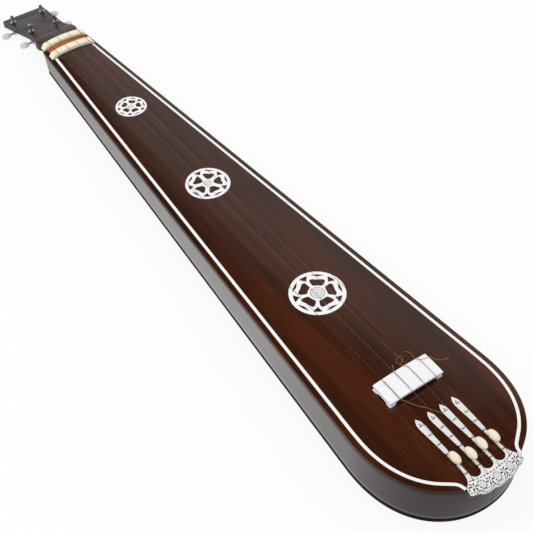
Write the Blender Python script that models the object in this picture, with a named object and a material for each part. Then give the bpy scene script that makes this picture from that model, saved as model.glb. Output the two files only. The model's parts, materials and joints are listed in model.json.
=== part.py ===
"""A flat-backed travel tanpura: a tapering wooden box with four strings, tuning beads and machine heads.

The back lies on z = 0, the head points along +Y, and the origin is the middle of the back.
"""

import math

import bmesh
import bpy
from mathutils import Matrix, Vector
from mathutils.geometry import delaunay_2d_cdt

MM = 0.001
GAP = 0.3 * MM  # running or glue gap between touching pieces

# Body
BODY_LENGTH = 958 * MM
HEEL_WIDTH = 77.5 * MM
SHOULDER_WIDTH = 199.4 * MM
SHOULDER_FROM_TAIL = 128.5 * MM
TAIL_DEPTH = 66.9 * MM
HEEL_DEPTH = 38.0 * MM
ROUND_ALONG = 0.68  # fullness of the rounded tail, along and across
ROUND_ACROSS = 0.55
BOARD_THICK = 3.5 * MM
BACK_THICK = 8 * MM
BACK_EDGE_BEVEL = 2.5 * MM
WALL_THICK = 4 * MM
CROWN_HEAD = 5.5 * MM
CROWN_TAIL = 2.6 * MM
CROWN_FADE = 80 * MM  # the crown dies away over this length at the tail
BOARD_OVERHANG = 18 * MM  # soundboard past the heel
HEEL_STUB = 11 * MM  # top of the side walls past the heel
STUB_DEPTH = 5 * MM

# Blocks, braces and linings
NECK_BLOCK_LENGTH = 60 * MM
NECK_TONGUE_DEPTH = 12 * MM
TAIL_BLOCK_LENGTH = 34 * MM
TAIL_BLOCK_WIDTH = 92 * MM
LINING_WIDTH = 6 * MM
LINING_DEPTH = 8 * MM
BRACE_WIDTH = 10 * MM
BRACE_DEPTH = 11 * MM
BRACES = {"upper": 0.214, "middle": -0.042, "lower": -0.245}  # places, as shares of the body's length

# White line along the edge
LINE_WIDTH = 3.8 * MM
LINE_INSET = 8.7 * MM
LINE_THICK = 1.0 * MM
LINE_PROUD = 0.2 * MM
LINE_END_ACROSS = 38 * MM
LINE_END_FROM_TAIL = 7.5 * MM
LINE_CURL_ALONG = 6.5 * MM  # length and sideways reach of the curl at its tail end
LINE_CURL_ACROSS = 1.8 * MM

# Rosettes: outer radius, and place as a share of the body's length
ROSETTES = {"upper": (22.6 * MM, 0.297), "middle": (30.4 * MM, 0.0856), "lower": (35.3 * MM, -0.1689)}
ROSETTE_TURN = 34  # degrees from the head's direction to the first petal
ROSETTE_THICK = 0.8 * MM

# Nut, string guide and the strip between them
BAR_LENGTH = 74 * MM
BAR_RISE = 6.0 * MM  # top of a bar over the soundboard, in the middle
BAR_END_RISE = 1.2 * MM
BAR_EDGE = 1.2 * MM  # bevel along its top
GUIDE_FROM_END = 1 * MM
NUT_WIDTH = 12 * MM
GUIDE_WIDTH = 11 * MM
NUT_TO_GUIDE = 27 * MM
STRIP_THICK = 1.4 * MM
STRIP_LENGTH = 66 * MM

# Strings
STRING_SPACING = 17.6 * MM
STRING_RADIUS = {"outer": 0.3 * MM, "inner": 0.25 * MM}
STRING_ANCHOR_DEPTH = 12 * MM

# Bridge
BRIDGE_FROM_TAIL = 148.2 * MM  # its middle
BRIDGE_LENGTH = 77.4 * MM
BRIDGE_WIDTH = 31.6 * MM
BRIDGE_RISE = 11.4 * MM  # over the soundboard, in the middle
BRIDGE_ARCH = 1.9 * MM  # how much lower its ends are
BRIDGE_CURVE = 0.7 * MM  # fall of its top towards both long edges
BRIDGE_PLATE_THICK = 4.2 * MM
FOOT_LENGTH = 8.5 * MM
FOOT_STEP = 2.2 * MM
FOOT_IN = 0.4 * MM  # the toe's face behind the plate's end
FOOT_LIP = 1.2 * MM  # fall of the plate's underside at a foot
FOOT_TOE = 1.4 * MM
FOOT_SLOPE = 3 * MM
TOE_ARCH_HEIGHT = 3.6 * MM
TOE_LENGTH = 7 * MM

# Tail plate
PLATE_THICK = 1.0 * MM
PLATE_LIFT = 0.45 * MM  # clearance between it and the soundboard
PLATE_WIDTH = 81 * MM
PLATE_ROOT_FROM_TAIL = 11 * MM  # where the round gaps between the fingers end
PLATE_FLARE = 21 * MM  # from a root's height up to where an outer finger starts to widen into a corner
PLATE_LIP = 13.5 * MM  # past the tail's edge, measured along the sheet
PLATE_BEND_RADIUS = 6.5 * MM
LOBES = 4
LOBE_WIDTH = 19 * MM
LOBE_DEPTH = 2.6 * MM
FINGER_LENGTH = 93.5 * MM  # tip to root
FINGER_WIDTH = 8.6 * MM  # where it is widest
# A finger's half width in shares of the widest, for places from its tip in shares of its length
FINGER_SHAPE = ((0.76, 0.42), (0.68, 0.43), (0.57, 0.55), (0.4, 0.74), (0.22, 0.94), (0.13, 1), (0.08, 0.88), (0.035, 0.5))
HOLE_RADIUS = 0.9 * MM
HOLE_FROM_EDGE = 7.5 * MM

# Beads
BEAD_RADIUS = 5.2 * MM
BEAD_LENGTH = 16.8 * MM
BEAD_END_RADIUS = 1.8 * MM
BEAD_FROM_TAIL = 37 * MM
BEAD_TRAVEL = 8 * MM
BEAD_SHIFTS = {1: 2.8 * MM, 2: -2.8 * MM, 3: 0, 4: -0.5 * MM}  # as they are set, from the middle of the travel
BEAD_BORE = 0.75 * MM
BEAD_END_ROOM = 1 * MM  # straight string past the bead's travel

# Threads: points in shares. The first is across from the string, in shares of the way to the bridge's end.
# The second is the way past the bridge's long edge, in shares of its width; below 0 it lies over the bridge.
# The third is the height over the board in shares of the bridge's there, and 1 is on its top.
THREAD_RADIUS = 0.25 * MM
THREAD_EDGE = {1: -1, 2: 1, 3: 1, 4: 1}  # the edge that each one leaves by: -1 on the tail's side, 1 on the head's
THREAD_ROUTES = {
    1: ((0, -0.88, 1), (0, -0.45, 1), (0, -0.05, 1), (0.06, 0.03, 0.98), (0.5, 0.19, 0.55), (1, 0.45, 0.22),
        (1.67, 0.73, 0.04), (2.12, 1, 0), (2.41, 1.2, 0)),
    2: ((0, -0.88, 1), (0, -0.45, 1), (0.02, -0.05, 1), (0.11, 0.03, 0.98), (0.42, 0.19, 0.75), (0.7, 0.36, 0.42),
        (0.72, 0.4, 0.04)),
    3: ((0, -0.88, 1), (0, -0.45, 1), (-0.05, -0.13, 1), (-0.21, -0.04, 1), (-0.32, 0.03, 0.98), (-0.28, 0.2, 0.7),
        (-0.24, 0.36, 0.4), (0.17, 0.54, 0.13), (0.76, 0.58, 0.02), (0.46, 0.33, 0.24), (-0.05, 0.21, 0.58)),
    4: ((0.01, 0.66, 0), (0.24, 0.5, 0.12), (0.04, 0.28, 0.48), (-0.24, 0.03, 0.98), (-0.24, -0.05, 1), (-0.08, -0.11, 1),
        (0.4, -0.18, 1), (0.95, -0.21, 1), (1.07, -0.22, 0.98), (1.25, -0.3, 0.75), (1.86, -0.4, 0.22), (2.48, -0.48, 0.01),
        (3, -0.47, 0)),
}

# Head
HEAD_TILT = math.radians(16.1)
HEAD_LENGTH = 156 * MM
HEAD_THICK = 10 * MM
HEAD_END_WIDTH = 73.6 * MM
HEAD_WAIST_WIDTH = 56.8 * MM
HEAD_WAIST_AT = 50 * MM
HEAD_RAISE = 4.3 * MM  # top of the head over the soundboard's rim, at the board's end
COLLAR_LENGTH = 41 * MM
COLLAR_WIDTH = 69.2 * MM
COLLAR_THICK = 14 * MM
COLLAR_COVER = 1.5 * MM  # collar's top over the head plate's
COLLAR_EDGE = 1 * MM
COLLAR_NECK_IN = 4 * MM  # how far it is narrower than its ears, before and behind them
COLLAR_END_IN = 6 * MM
HEAD_CORNER = 2 * MM
HEAD_SHOULDER = 1.6 * MM  # fillet between the head's waist and its shoulder
TONGUE_WIDTH = 52 * MM
TONGUE_SINK = 1.2 * MM  # tongue's top under the head plate's

# Machine heads: distance across from the middle, and place along the head as a share of its length
POSTS = {"near": (22 * MM, 0.4423), "far": (26 * MM, 0.8526)}
POST_RADIUS = 3.0 * MM
POST_HEIGHT = 12 * MM
POST_BASE = 4.2 * MM
POST_CONE = 0.6 * MM
POST_CAP = 1.6 * MM
POST_EDGE = 0.8 * MM
STRING_HOLE_FROM_TOP = 3.2 * MM
POST_WAIST_RADIUS = 2.4 * MM
POST_FOOT_RADIUS = 1.9 * MM
STRING_HOLE_RADIUS = 0.7 * MM
BUSHING_WALL = 1.2 * MM
BUSHING_FLANGE = 5.2 * MM
BUSHING_RISE = 1.6 * MM
BUSHING_DEPTH = 9 * MM
HOUSING_THICK = 1.0 * MM
HOUSING_LENGTH = 26 * MM
HOUSING_WIDTH = 14 * MM
HOUSING_BEHIND = 8 * MM  # from the post's axis back to its end
EAR_THICK = 1.6 * MM
EAR_DROP = 5.8 * MM
EAR_LENGTH = 7.4 * MM
GEAR_RADIUS = 6.0 * MM
GEAR_TEETH = 15
GEAR_TOOTH = 0.9 * MM
GEAR_THICK = 3.0 * MM
WORM_RADIUS = 2.2 * MM
WORM_LENGTH = 8.4 * MM
WORM_THREADS = 4
SHAFT_RADIUS = 1.6 * MM
SHAFT_DROP = 2.7 * MM  # worm axis under the housing
SHAFT_END = 0.8 * MM  # past the inner ear, and of the post past its gear
BUTTON_FROM_EDGE = 12.5 * MM
BUTTON_LENGTH = 13.5 * MM
BUTTON_HEIGHT = 18.5 * MM
BUTTON_THICK = 8 * MM
SHAFT_IN_BUTTON = 7 * MM
WINDING_TURNS = 3
WINDING_PITCH = 1.1 * MM
WINDING_FROM_TOP = 3.6 * MM

# Worked out from the sizes above
TAIL_Y = -BODY_LENGTH / 2
HEEL_Y = BODY_LENGTH / 2
SHOULDER_Y = TAIL_Y + SHOULDER_FROM_TAIL
BOARD_END_Y = HEEL_Y + BOARD_OVERHANG
GUIDE_Y = BOARD_END_Y - GUIDE_WIDTH / 2 - GUIDE_FROM_END
NUT_Y = GUIDE_Y - NUT_TO_GUIDE
BRIDGE_Y = TAIL_Y + BRIDGE_FROM_TAIL
BEAD_Y = TAIL_Y + BEAD_FROM_TAIL
STRING_X = [(i - 1.5) * STRING_SPACING for i in range(4)]
STRING_KIND = ["outer", "inner", "inner", "outer"]
SIDE_NAMES = {-1: "left", 1: "right"}
CURVE_STEPS = 16

COLOURS = {
    "polished_rosewood": ((0.075, 0.022, 0.010), 0.22, 0.0),
    "side_wood": ((0.055, 0.026, 0.022), 0.25, 0.0),
    "inner_wood": ((0.42, 0.27, 0.14), 0.6, 0.0),
    "head_wood": ((0.060, 0.048, 0.045), 0.3, 0.0),
    "strip_wood": ((0.33, 0.11, 0.03), 0.45, 0.0),
    "white_inlay": ((0.90, 0.90, 0.88), 0.35, 0.0),
    "ivory": ((0.90, 0.83, 0.62), 0.4, 0.0),
    "bridge_white": ((0.93, 0.93, 0.94), 0.35, 0.0),
    "engraved_silver": ((0.80, 0.81, 0.82), 0.35, 0.6),
    "chrome": ((0.75, 0.75, 0.76), 0.15, 1.0),
    "pearl": ((0.82, 0.82, 0.82), 0.2, 0.0),
    "steel_wire": ((0.60, 0.58, 0.55), 0.3, 1.0),
    "bronze_wire": ((0.62, 0.30, 0.13), 0.3, 1.0),
    "thread": ((0.50, 0.33, 0.08), 0.8, 0.0),
}


def clear_scene():
    for obj in list(bpy.data.objects):
        bpy.data.objects.remove(obj, do_unlink=True)


def material(name):
    found = bpy.data.materials.get(name)
    if found:
        return found
    colour, roughness, metallic = COLOURS[name]
    made = bpy.data.materials.new(name)
    made.use_nodes = True
    shader = made.node_tree.nodes["Principled BSDF"]
    shader.inputs["Base Color"].default_value = (*colour, 1)
    shader.inputs["Roughness"].default_value = roughness
    shader.inputs["Metallic"].default_value = metallic
    return made


# Meshes


def make_object(name, points, faces, finish, smooth=False):
    """A closed mesh as one object, with its faces turned outwards."""
    mesh = bpy.data.meshes.new(name)
    mesh.from_pydata([tuple(p) for p in points], [], faces)
    shape = bmesh.new()
    shape.from_mesh(mesh)
    bmesh.ops.recalc_face_normals(shape, faces=shape.faces)
    if shape.calc_volume(signed=True) < 0:
        bmesh.ops.reverse_faces(shape, faces=shape.faces)
    shape.to_mesh(mesh)
    shape.free()
    if smooth:
        mesh.shade_smooth()
        mesh.set_sharp_from_angle(angle=math.radians(35))
    obj = bpy.data.objects.new(name, mesh)
    bpy.context.scene.collection.objects.link(obj)
    mesh.materials.append(material(finish))
    return obj


def loft(name, loops, finish, smooth=False):
    """A solid through closed loops that have the same number of points."""
    count = len(loops[0])
    points = [point for loop in loops for point in loop]
    faces = []
    for row in range(len(loops) - 1):
        for i in range(count):
            j = (i + 1) % count
            a, b = row * count, (row + 1) * count
            faces.append((a + i, a + j, b + j, b + i))
    last = (len(loops) - 1) * count
    faces.append(tuple(range(count - 1, -1, -1)))
    faces.append(tuple(range(last, last + count)))
    return make_object(name, points, faces, finish, smooth)


def turned(name, profile, segments, finish, place):
    """A solid turned about its own z axis: profile is a closed list of (radius, z), all off the axis."""
    points = []
    for i in range(segments):
        angle = 2 * math.pi * i / segments
        for radius, z in profile:
            points.append(place @ Vector((radius * math.cos(angle), radius * math.sin(angle), z)))
    count = len(profile)
    faces = []
    for i in range(segments):
        a, b = i * count, ((i + 1) % segments) * count
        for j in range(count):
            k = (j + 1) % count
            faces.append((a + j, b + j, b + k, a + k))
    return make_object(name, points, faces, finish, True)


def solid_turned(name, profile, segments, finish, place):
    """A solid turned about its own z axis: profile runs from bottom to top, and both ends are closed."""
    loops = []
    for radius, z in profile:
        ring = [2 * math.pi * i / segments for i in range(segments)]
        loops.append([place @ Vector((radius * math.cos(a), radius * math.sin(a), z)) for a in ring])
    return loft(name, loops, finish, True)


def inside(point, loop):
    """Whether a point in the plane lies inside a closed loop."""
    hit = False
    for (ax, ay), (bx, by) in zip(loop, loop[1:] + loop[:1]):
        if (ay > point[1]) != (by > point[1]):
            if point[0] < (bx - ax) * (point[1] - ay) / (by - ay) + ax:
                hit = not hit
    return hit


def sheet(name, outline, holes, extra, top, bottom, finish, smooth=False):
    """A plate cut from a flat shape: top and bottom give the place in space of each point of the shape."""
    loops = [outline] + holes
    flat = [Vector(p) for loop in loops for p in loop] + [Vector(p) for p in extra]
    edges = []
    start = 0
    for loop in loops:
        edges += [(start + i, start + (i + 1) % len(loop)) for i in range(len(loop))]
        start += len(loop)
    found = delaunay_2d_cdt(flat, edges, [], 1, 1e-7)
    kept = []
    for face in found[2]:
        middle = sum((found[0][i] for i in face), Vector((0, 0))) / len(face)
        if inside(middle, outline) and not any(inside(middle, hole) for hole in holes):
            kept.append(tuple(face))
    count = len(found[0])
    points = [top(p.x, p.y) for p in found[0]] + [bottom(p.x, p.y) for p in found[0]]
    faces = list(kept)
    faces += [tuple(i + count for i in reversed(face)) for face in kept]
    sides = set()
    for face in kept:
        for i, j in zip(face, face[1:] + face[:1]):
            sides.add((i, j))
    for i, j in sides:
        if (j, i) not in sides:
            faces.append((j, i, i + count, j + count))
    used = sorted({i for face in faces for i in face})
    place = {old: new for new, old in enumerate(used)}
    faces = [tuple(place[i] for i in face) for face in faces]
    return make_object(name, [points[i] for i in used], faces, finish, smooth)


def box_points(low, high):
    return [
        [(low[0], y, z) for y, z in ((low[1], low[2]), (high[1], low[2]), (high[1], high[2]), (low[1], high[2]))],
        [(high[0], y, z) for y, z in ((low[1], low[2]), (high[1], low[2]), (high[1], high[2]), (low[1], high[2]))],
    ]


def cut(obj, cutter):
    """Takes a cutter out of an object."""
    cutter.hide_render = True
    cutter.display_type = "WIRE"
    modifier = obj.modifiers.new("cut_" + cutter.name, "BOOLEAN")
    modifier.operation = "DIFFERENCE"
    modifier.solver = "EXACT"
    modifier.object = cutter


def join_to(obj, other):
    """Fuses a helper solid into an object."""
    other.hide_render = True
    other.display_type = "WIRE"
    modifier = obj.modifiers.new("with_" + other.name, "BOOLEAN")
    modifier.operation = "UNION"
    modifier.solver = "EXACT"
    modifier.object = other


def wire(name, route, radius, finish):
    """A round wire or thread along a route of points."""
    curve = bpy.data.curves.new(name, "CURVE")
    curve.dimensions = "3D"
    curve.bevel_depth = radius
    curve.bevel_resolution = 2
    curve.use_fill_caps = True
    spline = curve.splines.new("POLY")
    spline.points.add(len(route) - 1)
    for point, place in zip(spline.points, route):
        point.co = (*place, 1)
    obj = bpy.data.objects.new(name, curve)
    bpy.context.scene.collection.objects.link(obj)
    curve.materials.append(material(finish))
    return obj


# The body's outline and the soundboard's surface


def mix(a, b, share):
    return a + (b - a) * share


def tail_curve(share):
    """Half the body's outline from the shoulder, at 0, to the middle of the tail, at 1, as (x, y)."""
    slope = (SHOULDER_WIDTH - HEEL_WIDTH) / 2 / (HEEL_Y - SHOULDER_Y)
    along = ROUND_ALONG * SHOULDER_FROM_TAIL
    start = Vector((SHOULDER_WIDTH / 2, SHOULDER_Y))
    one = start + Vector((slope * along, -along))
    two = Vector((ROUND_ACROSS * SHOULDER_WIDTH / 2, TAIL_Y))
    end = Vector((0, TAIL_Y))
    rest = 1 - share
    return rest**3 * start + 3 * rest**2 * share * one + 3 * rest * share**2 * two + share**3 * end


def tail_edge(x):
    """The tail's y at x."""
    low, high = 0.0, 1.0
    for _ in range(40):
        middle = (low + high) / 2
        if tail_curve(middle).x > abs(x):
            low = middle
        else:
            high = middle
    return tail_curve(low).y


def hole_y(x):
    """Where a string goes in at the tail, for its place x across."""
    return tail_edge(x) + HOLE_FROM_EDGE


def half_width(y):
    """Half the body's width at y."""
    if y >= SHOULDER_Y:
        return mix(SHOULDER_WIDTH, HEEL_WIDTH, (y - SHOULDER_Y) / (HEEL_Y - SHOULDER_Y)) / 2
    low, high = 0.0, 1.0
    for _ in range(40):
        middle = (low + high) / 2
        if tail_curve(middle).y > y:
            low = middle
        else:
            high = middle
    return tail_curve(low).x


def half_outline(end_y, inset, steps=CURVE_STEPS, stations=10):
    """The right half of the outline from end_y round to the middle of the tail, moved inwards by inset."""
    places = []
    for i in range(stations):
        y = mix(end_y, SHOULDER_Y, i / stations)
        places.append(Vector((half_width(y), y)))
    places += [tail_curve(i / steps) for i in range(steps + 1)]
    moved = []
    for i, place in enumerate(places):
        before = places[max(i - 1, 0)]
        after = places[min(i + 1, len(places) - 1)]
        along = (after - before).normalized()
        if i == len(places) - 1:
            along = Vector((-1, 0))
        moved.append(place + Vector((along.y, -along.x)) * inset)
    if inset:
        moved[0].y = end_y
    return moved


def inset_half_width(y, inset):
    """Half the width at y of the outline moved inwards by inset."""
    line = half_outline(HEEL_Y + BOARD_OVERHANG, inset)
    for a, b in zip(line, line[1:]):
        if a.y >= y >= b.y and a.y > b.y:
            return mix(a.x, b.x, (a.y - y) / (a.y - b.y))
    return line[-1].x if y < line[-1].y else line[0].x


def rim_z(y):
    """Height of the soundboard's edge."""
    return mix(TAIL_DEPTH, HEEL_DEPTH, (y - TAIL_Y) / BODY_LENGTH)


def board_z(x, y):
    """Height of the crowned soundboard's top."""
    width = half_width(max(y, TAIL_Y + 0.1 * MM))
    share = min(1.0, abs(x) / width)
    crown = mix(CROWN_TAIL, CROWN_HEAD, (y - TAIL_Y) / BODY_LENGTH)
    fade = min(1.0, max(0.0, (y - TAIL_Y) / CROWN_FADE))
    return rim_z(y) + crown * (1 - share**2) * (1 - (1 - fade) ** 2)


def under_board(x, y):
    """Top of what is glued under the soundboard."""
    return board_z(x, y) - BOARD_THICK - GAP


def full_outline(half):
    """A closed outline from its right half."""
    return [tuple(p) for p in half] + [(-p.x, p.y) for p in reversed(half[:-1])]


# The box


def make_soundboard():
    half = half_outline(BOARD_END_Y, 0)
    shares = (-0.75, -0.45, -0.15, 0.15, 0.45, 0.75)
    outline = full_outline(half) + [(half[0].x * share, half[0].y) for share in shares]
    extra = []
    for p in half[1:-3]:
        extra += [(p.x * share, p.y) for share in shares]
    board = sheet(
        "soundboard", outline, [], extra,
        lambda x, y: (x, y, board_z(x, y)),
        lambda x, y: (x, y, board_z(x, y) - BOARD_THICK),
        "polished_rosewood", True,
    )
    for side, word in SIDE_NAMES.items():
        cut(board, edge_line("groove_" + word, side, GAP, LINE_PROUD - LINE_THICK - GAP, 2 * MM))
    for i, x in enumerate(STRING_X):
        middle = rim_z(hole_y(x))
        cut(board, string_hole(f"board_hole_{i + 1}", x, middle - 3 * BOARD_THICK, middle + 3 * BOARD_THICK))
    return board


def make_back():
    """The back plate, with its lower edge bevelled all round."""
    rings = []
    for inset, z in ((BACK_EDGE_BEVEL, 0), (0, BACK_EDGE_BEVEL), (0, BACK_THICK)):
        rings.append([(x, y, z) for x, y in full_outline(half_outline(HEEL_Y, inset))])
    return loft("back_plate", rings, "side_wood")


def heel_bottom(y, depth):
    """Lower end of the neck at y, past the heel, sweeping up to depth under the rim."""
    share = min(1.0, max(0.0, (y - HEEL_Y) / HEEL_STUB))
    floor = BACK_THICK + GAP
    tip = rim_z(y) - depth
    return tip - (tip - floor) * (1 - share) ** 3


def heel_stations():
    return [HEEL_Y + HEEL_STUB * share for share in (1, 0.75, 0.5, 0.3, 0.15, 0.05)]


def make_side(side):
    """One side wall, from the neck round to the middle of the tail."""
    loops = []
    for y in heel_stations():
        outer, inner = half_width(y), half_width(y) - WALL_THICK
        low = heel_bottom(y, STUB_DEPTH)
        loops.append([(side * x, y, z) for x, z in (
            (outer, low), (outer, under_board(outer, y)), (inner, under_board(inner, y)), (inner, low))])
    for outer, inner in zip(half_outline(HEEL_Y, 0), half_outline(HEEL_Y, WALL_THICK)):
        a = (max(outer.x, GAP / 2), outer.y)
        b = (max(inner.x, GAP / 2), inner.y)
        low = BACK_THICK + GAP
        loops.append([
            (side * a[0], a[1], low), (side * a[0], a[1], under_board(*a)),
            (side * b[0], b[1], under_board(*b)), (side * b[0], b[1], low),
        ])
    return loft("side_" + SIDE_NAMES[side], loops, "side_wood", True)


def make_lining(side):
    """A strip in the corner between a side wall and the soundboard."""
    inset = WALL_THICK + GAP
    start = HEEL_Y - NECK_BLOCK_LENGTH - GAP
    loops = []
    outer_line = half_outline(start, inset)
    inner_line = half_outline(start, inset + LINING_WIDTH)
    for outer, inner in zip(outer_line, inner_line):
        if outer.y < SHOULDER_Y and inner.x < TAIL_BLOCK_WIDTH / 2 + GAP:
            break
        low = under_board(outer.x, outer.y) - LINING_DEPTH
        loops.append([
            (side * outer.x, outer.y, low), (side * outer.x, outer.y, under_board(outer.x, outer.y)),
            (side * inner.x, inner.y, under_board(inner.x, inner.y)), (side * inner.x, inner.y, low),
        ])
    return loft("lining_" + SIDE_NAMES[side], loops, "inner_wood", True)


def block_loop(y, half, low):
    """A section across the body that is flat below and follows the soundboard above."""
    top = [(half * share, y, under_board(half * share, y)) for share in (1, 0.6, 0.2, -0.2, -0.6, -1)]
    return top + [(-half, y, low), (half, y, low)]


def make_neck_block():
    """The block that closes the neck end and carries the head."""
    inset = WALL_THICK + GAP
    loops = []
    for y in [BOARD_END_Y] + heel_stations():
        low = heel_bottom(y, NECK_TONGUE_DEPTH)
        half = half_width(y) - inset
        if y > HEEL_Y + HEEL_STUB * 1.01:
            half = min(half, COLLAR_WIDTH / 2 - 2 * GAP)
        loops.append(block_loop(y - (GAP if y == BOARD_END_Y else 0), half, low))
    for y in (HEEL_Y, HEEL_Y - NECK_BLOCK_LENGTH):
        loops.append(block_loop(y, half_width(y) - inset, BACK_THICK + GAP))
    return loft("neck_block", loops, "inner_wood")


def make_tail_block():
    """The block at the tail that holds the strings' ends."""
    inset = WALL_THICK + GAP
    inner_tail = TAIL_Y + inset
    loops = []
    for share in (0.02, 0.12, 0.3, 0.6, 1):
        y = inner_tail + share * TAIL_BLOCK_LENGTH
        half = min(TAIL_BLOCK_WIDTH / 2, inset_half_width(y, inset) - GAP)
        loops.append(block_loop(y, half, BACK_THICK + GAP))
    block = loft("tail_block", loops, "inner_wood")
    for i, x in enumerate(STRING_X):
        middle = rim_z(hole_y(x))
        low = middle - STRING_ANCHOR_DEPTH - 2 * HOLE_RADIUS
        cut(block, string_hole(f"block_hole_{i + 1}", x, low, middle + 3 * BOARD_THICK, 1.5))
    return block


def make_brace(name, y):
    """A bar across the underside of the soundboard, between the linings."""
    loops = []
    for end in (y - BRACE_WIDTH / 2, y + BRACE_WIDTH / 2):
        half = inset_half_width(end, WALL_THICK + LINING_WIDTH + 3 * GAP)
        half = min(half, inset_half_width(2 * y - end, WALL_THICK + LINING_WIDTH + 3 * GAP))
        loops.append(block_loop(end, half, under_board(0, y) - BRACE_DEPTH))
    return loft("brace_" + name, loops, "inner_wood")


def make_back_brace():
    half = half_width(BRACE_WIDTH / 2) - WALL_THICK - 2 * GAP
    low = (-half, -BRACE_WIDTH / 2, BACK_THICK + GAP)
    high = (half, BRACE_WIDTH / 2, BACK_THICK + GAP + BRACE_DEPTH)
    return loft("back_brace", box_points(low, high), "inner_wood")


# Inlay on the soundboard


def edge_line(name, side, grow, low, high):
    """The white line along one edge; grow widens it on both sides, low and high are heights over the board."""
    start = NUT_Y - NUT_WIDTH / 2 - 3 * GAP + grow
    path = half_outline(start, LINE_INSET)
    path = [p for p in path if p.y > SHOULDER_Y or p.x > LINE_END_ACROSS + LINE_CURL_ALONG]
    end_y = TAIL_Y + LINE_END_FROM_TAIL
    path.append(Vector((LINE_END_ACROSS + LINE_CURL_ACROSS, end_y + LINE_CURL_ALONG)))
    path.append(Vector((LINE_END_ACROSS, end_y)))
    loops = []
    for i, place in enumerate(path):
        before = path[max(i - 1, 0)]
        after = path[min(i + 1, len(path) - 1)]
        along = (after - before).normalized()
        if i == 0:
            along = Vector((0, -1))
        across = Vector((-along.y, along.x)) * (LINE_WIDTH / 2 + grow)
        a, b = place + across, place - across
        if i == len(path) - 1:
            a, b = a + along * grow, b + along * grow
        loops.append([
            (side * a.x, a.y, board_z(a.x, a.y) + low), (side * a.x, a.y, board_z(a.x, a.y) + high),
            (side * b.x, b.y, board_z(b.x, b.y) + high), (side * b.x, b.y, board_z(b.x, b.y) + low),
        ])
    return loft(name, loops, "white_inlay")


def make_rosette(name, radius, y):
    """A ring, a hub and five petals, cut from one thin plate that lies on the soundboard."""
    def spot(share, degrees):
        angle = math.radians(degrees)
        return (radius * share * math.sin(angle), y + radius * share * math.cos(angle))

    outline = [spot(1, 360 * i / 40) for i in range(40)]
    holes = []
    for i in range(5):
        petal = 72 * i + ROSETTE_TURN
        holes.append([spot(*p) for p in (
            (0.35, petal - 22), (0.48, petal - 23), (0.60, petal - 22), (0.67, petal - 16), (0.62, petal),
            (0.67, petal + 16), (0.60, petal + 22), (0.48, petal + 23), (0.35, petal + 22))])
        holes.append([spot(*p) for p in (
            (0.66, petal + 36), (0.82, petal + 29), (0.87, petal + 31), (0.87, petal + 41), (0.82, petal + 43))])
        holes.append([spot(*p) for p in (
            (0.79, petal), (0.84, petal - 13), (0.88, petal - 11), (0.88, petal + 11), (0.84, petal + 13))])
    return sheet(
        "rosette_" + name, outline, holes, [(0, y)],
        lambda x, py: (x, py, board_z(x, py) + GAP + ROSETTE_THICK),
        lambda x, py: (x, py, board_z(x, py) + GAP), "white_inlay",
    )


# Nut, guide and bridge


def bar_rise(x):
    """Height of a bar's top over the rim at x: an arch with sloping ends."""
    half = BAR_LENGTH / 2
    share = abs(x) / half
    middle = CROWN_HEAD + BAR_RISE
    if share > 0.88:
        shoulder = middle * (1 - 0.36 * 0.88**2)
        return mix(shoulder, BAR_END_RISE, (share - 0.88) / 0.12)
    return middle * (1 - 0.36 * share**2)


def make_bar(name, y, width):
    """An ivory coloured bar across the neck, seated on the crowned board."""
    loops = []
    edge = BAR_EDGE
    for share in (-1, -0.88, -0.66, -0.44, -0.22, 0, 0.22, 0.44, 0.66, 0.88, 1):
        x = share * BAR_LENGTH / 2
        loop = []
        top = rim_z(y) + bar_rise(x)
        side = max(top - edge, rim_z(y) + 0.7 * BAR_END_RISE)
        for dy, z in ((-width / 2, side), (-width / 2 + edge, top), (width / 2 - edge, top), (width / 2, side)):
            loop.append((x, y + dy, z))
        for dy in (width / 2, -width / 2):
            loop.append((x, y + dy, board_z(x, y + dy) + GAP))
        loops.append(loop)
    return loft(name, loops, "ivory")


def make_strip():
    """The strip of lighter wood between the nut and the string guide."""
    low, high = NUT_Y + NUT_WIDTH / 2 + GAP, GUIDE_Y - GUIDE_WIDTH / 2 - GAP
    loops = []
    for share in (-1, -0.6, -0.2, 0.2, 0.6, 1):
        x = share * STRIP_LENGTH / 2
        loops.append([
            (x, low, board_z(x, low) + GAP), (x, high, board_z(x, high) + GAP),
            (x, high, board_z(x, high) + GAP + STRIP_THICK), (x, low, board_z(x, low) + GAP + STRIP_THICK),
        ])
    return loft("spacer_strip", loops, "strip_wood")


def bridge_top(x, y):
    """Height of the bridge's top."""
    across = 2 * x / BRIDGE_LENGTH
    along = 2 * (y - BRIDGE_Y) / BRIDGE_WIDTH
    return board_z(0, BRIDGE_Y) + BRIDGE_RISE - BRIDGE_ARCH * across**2 - BRIDGE_CURVE * along**2


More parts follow.
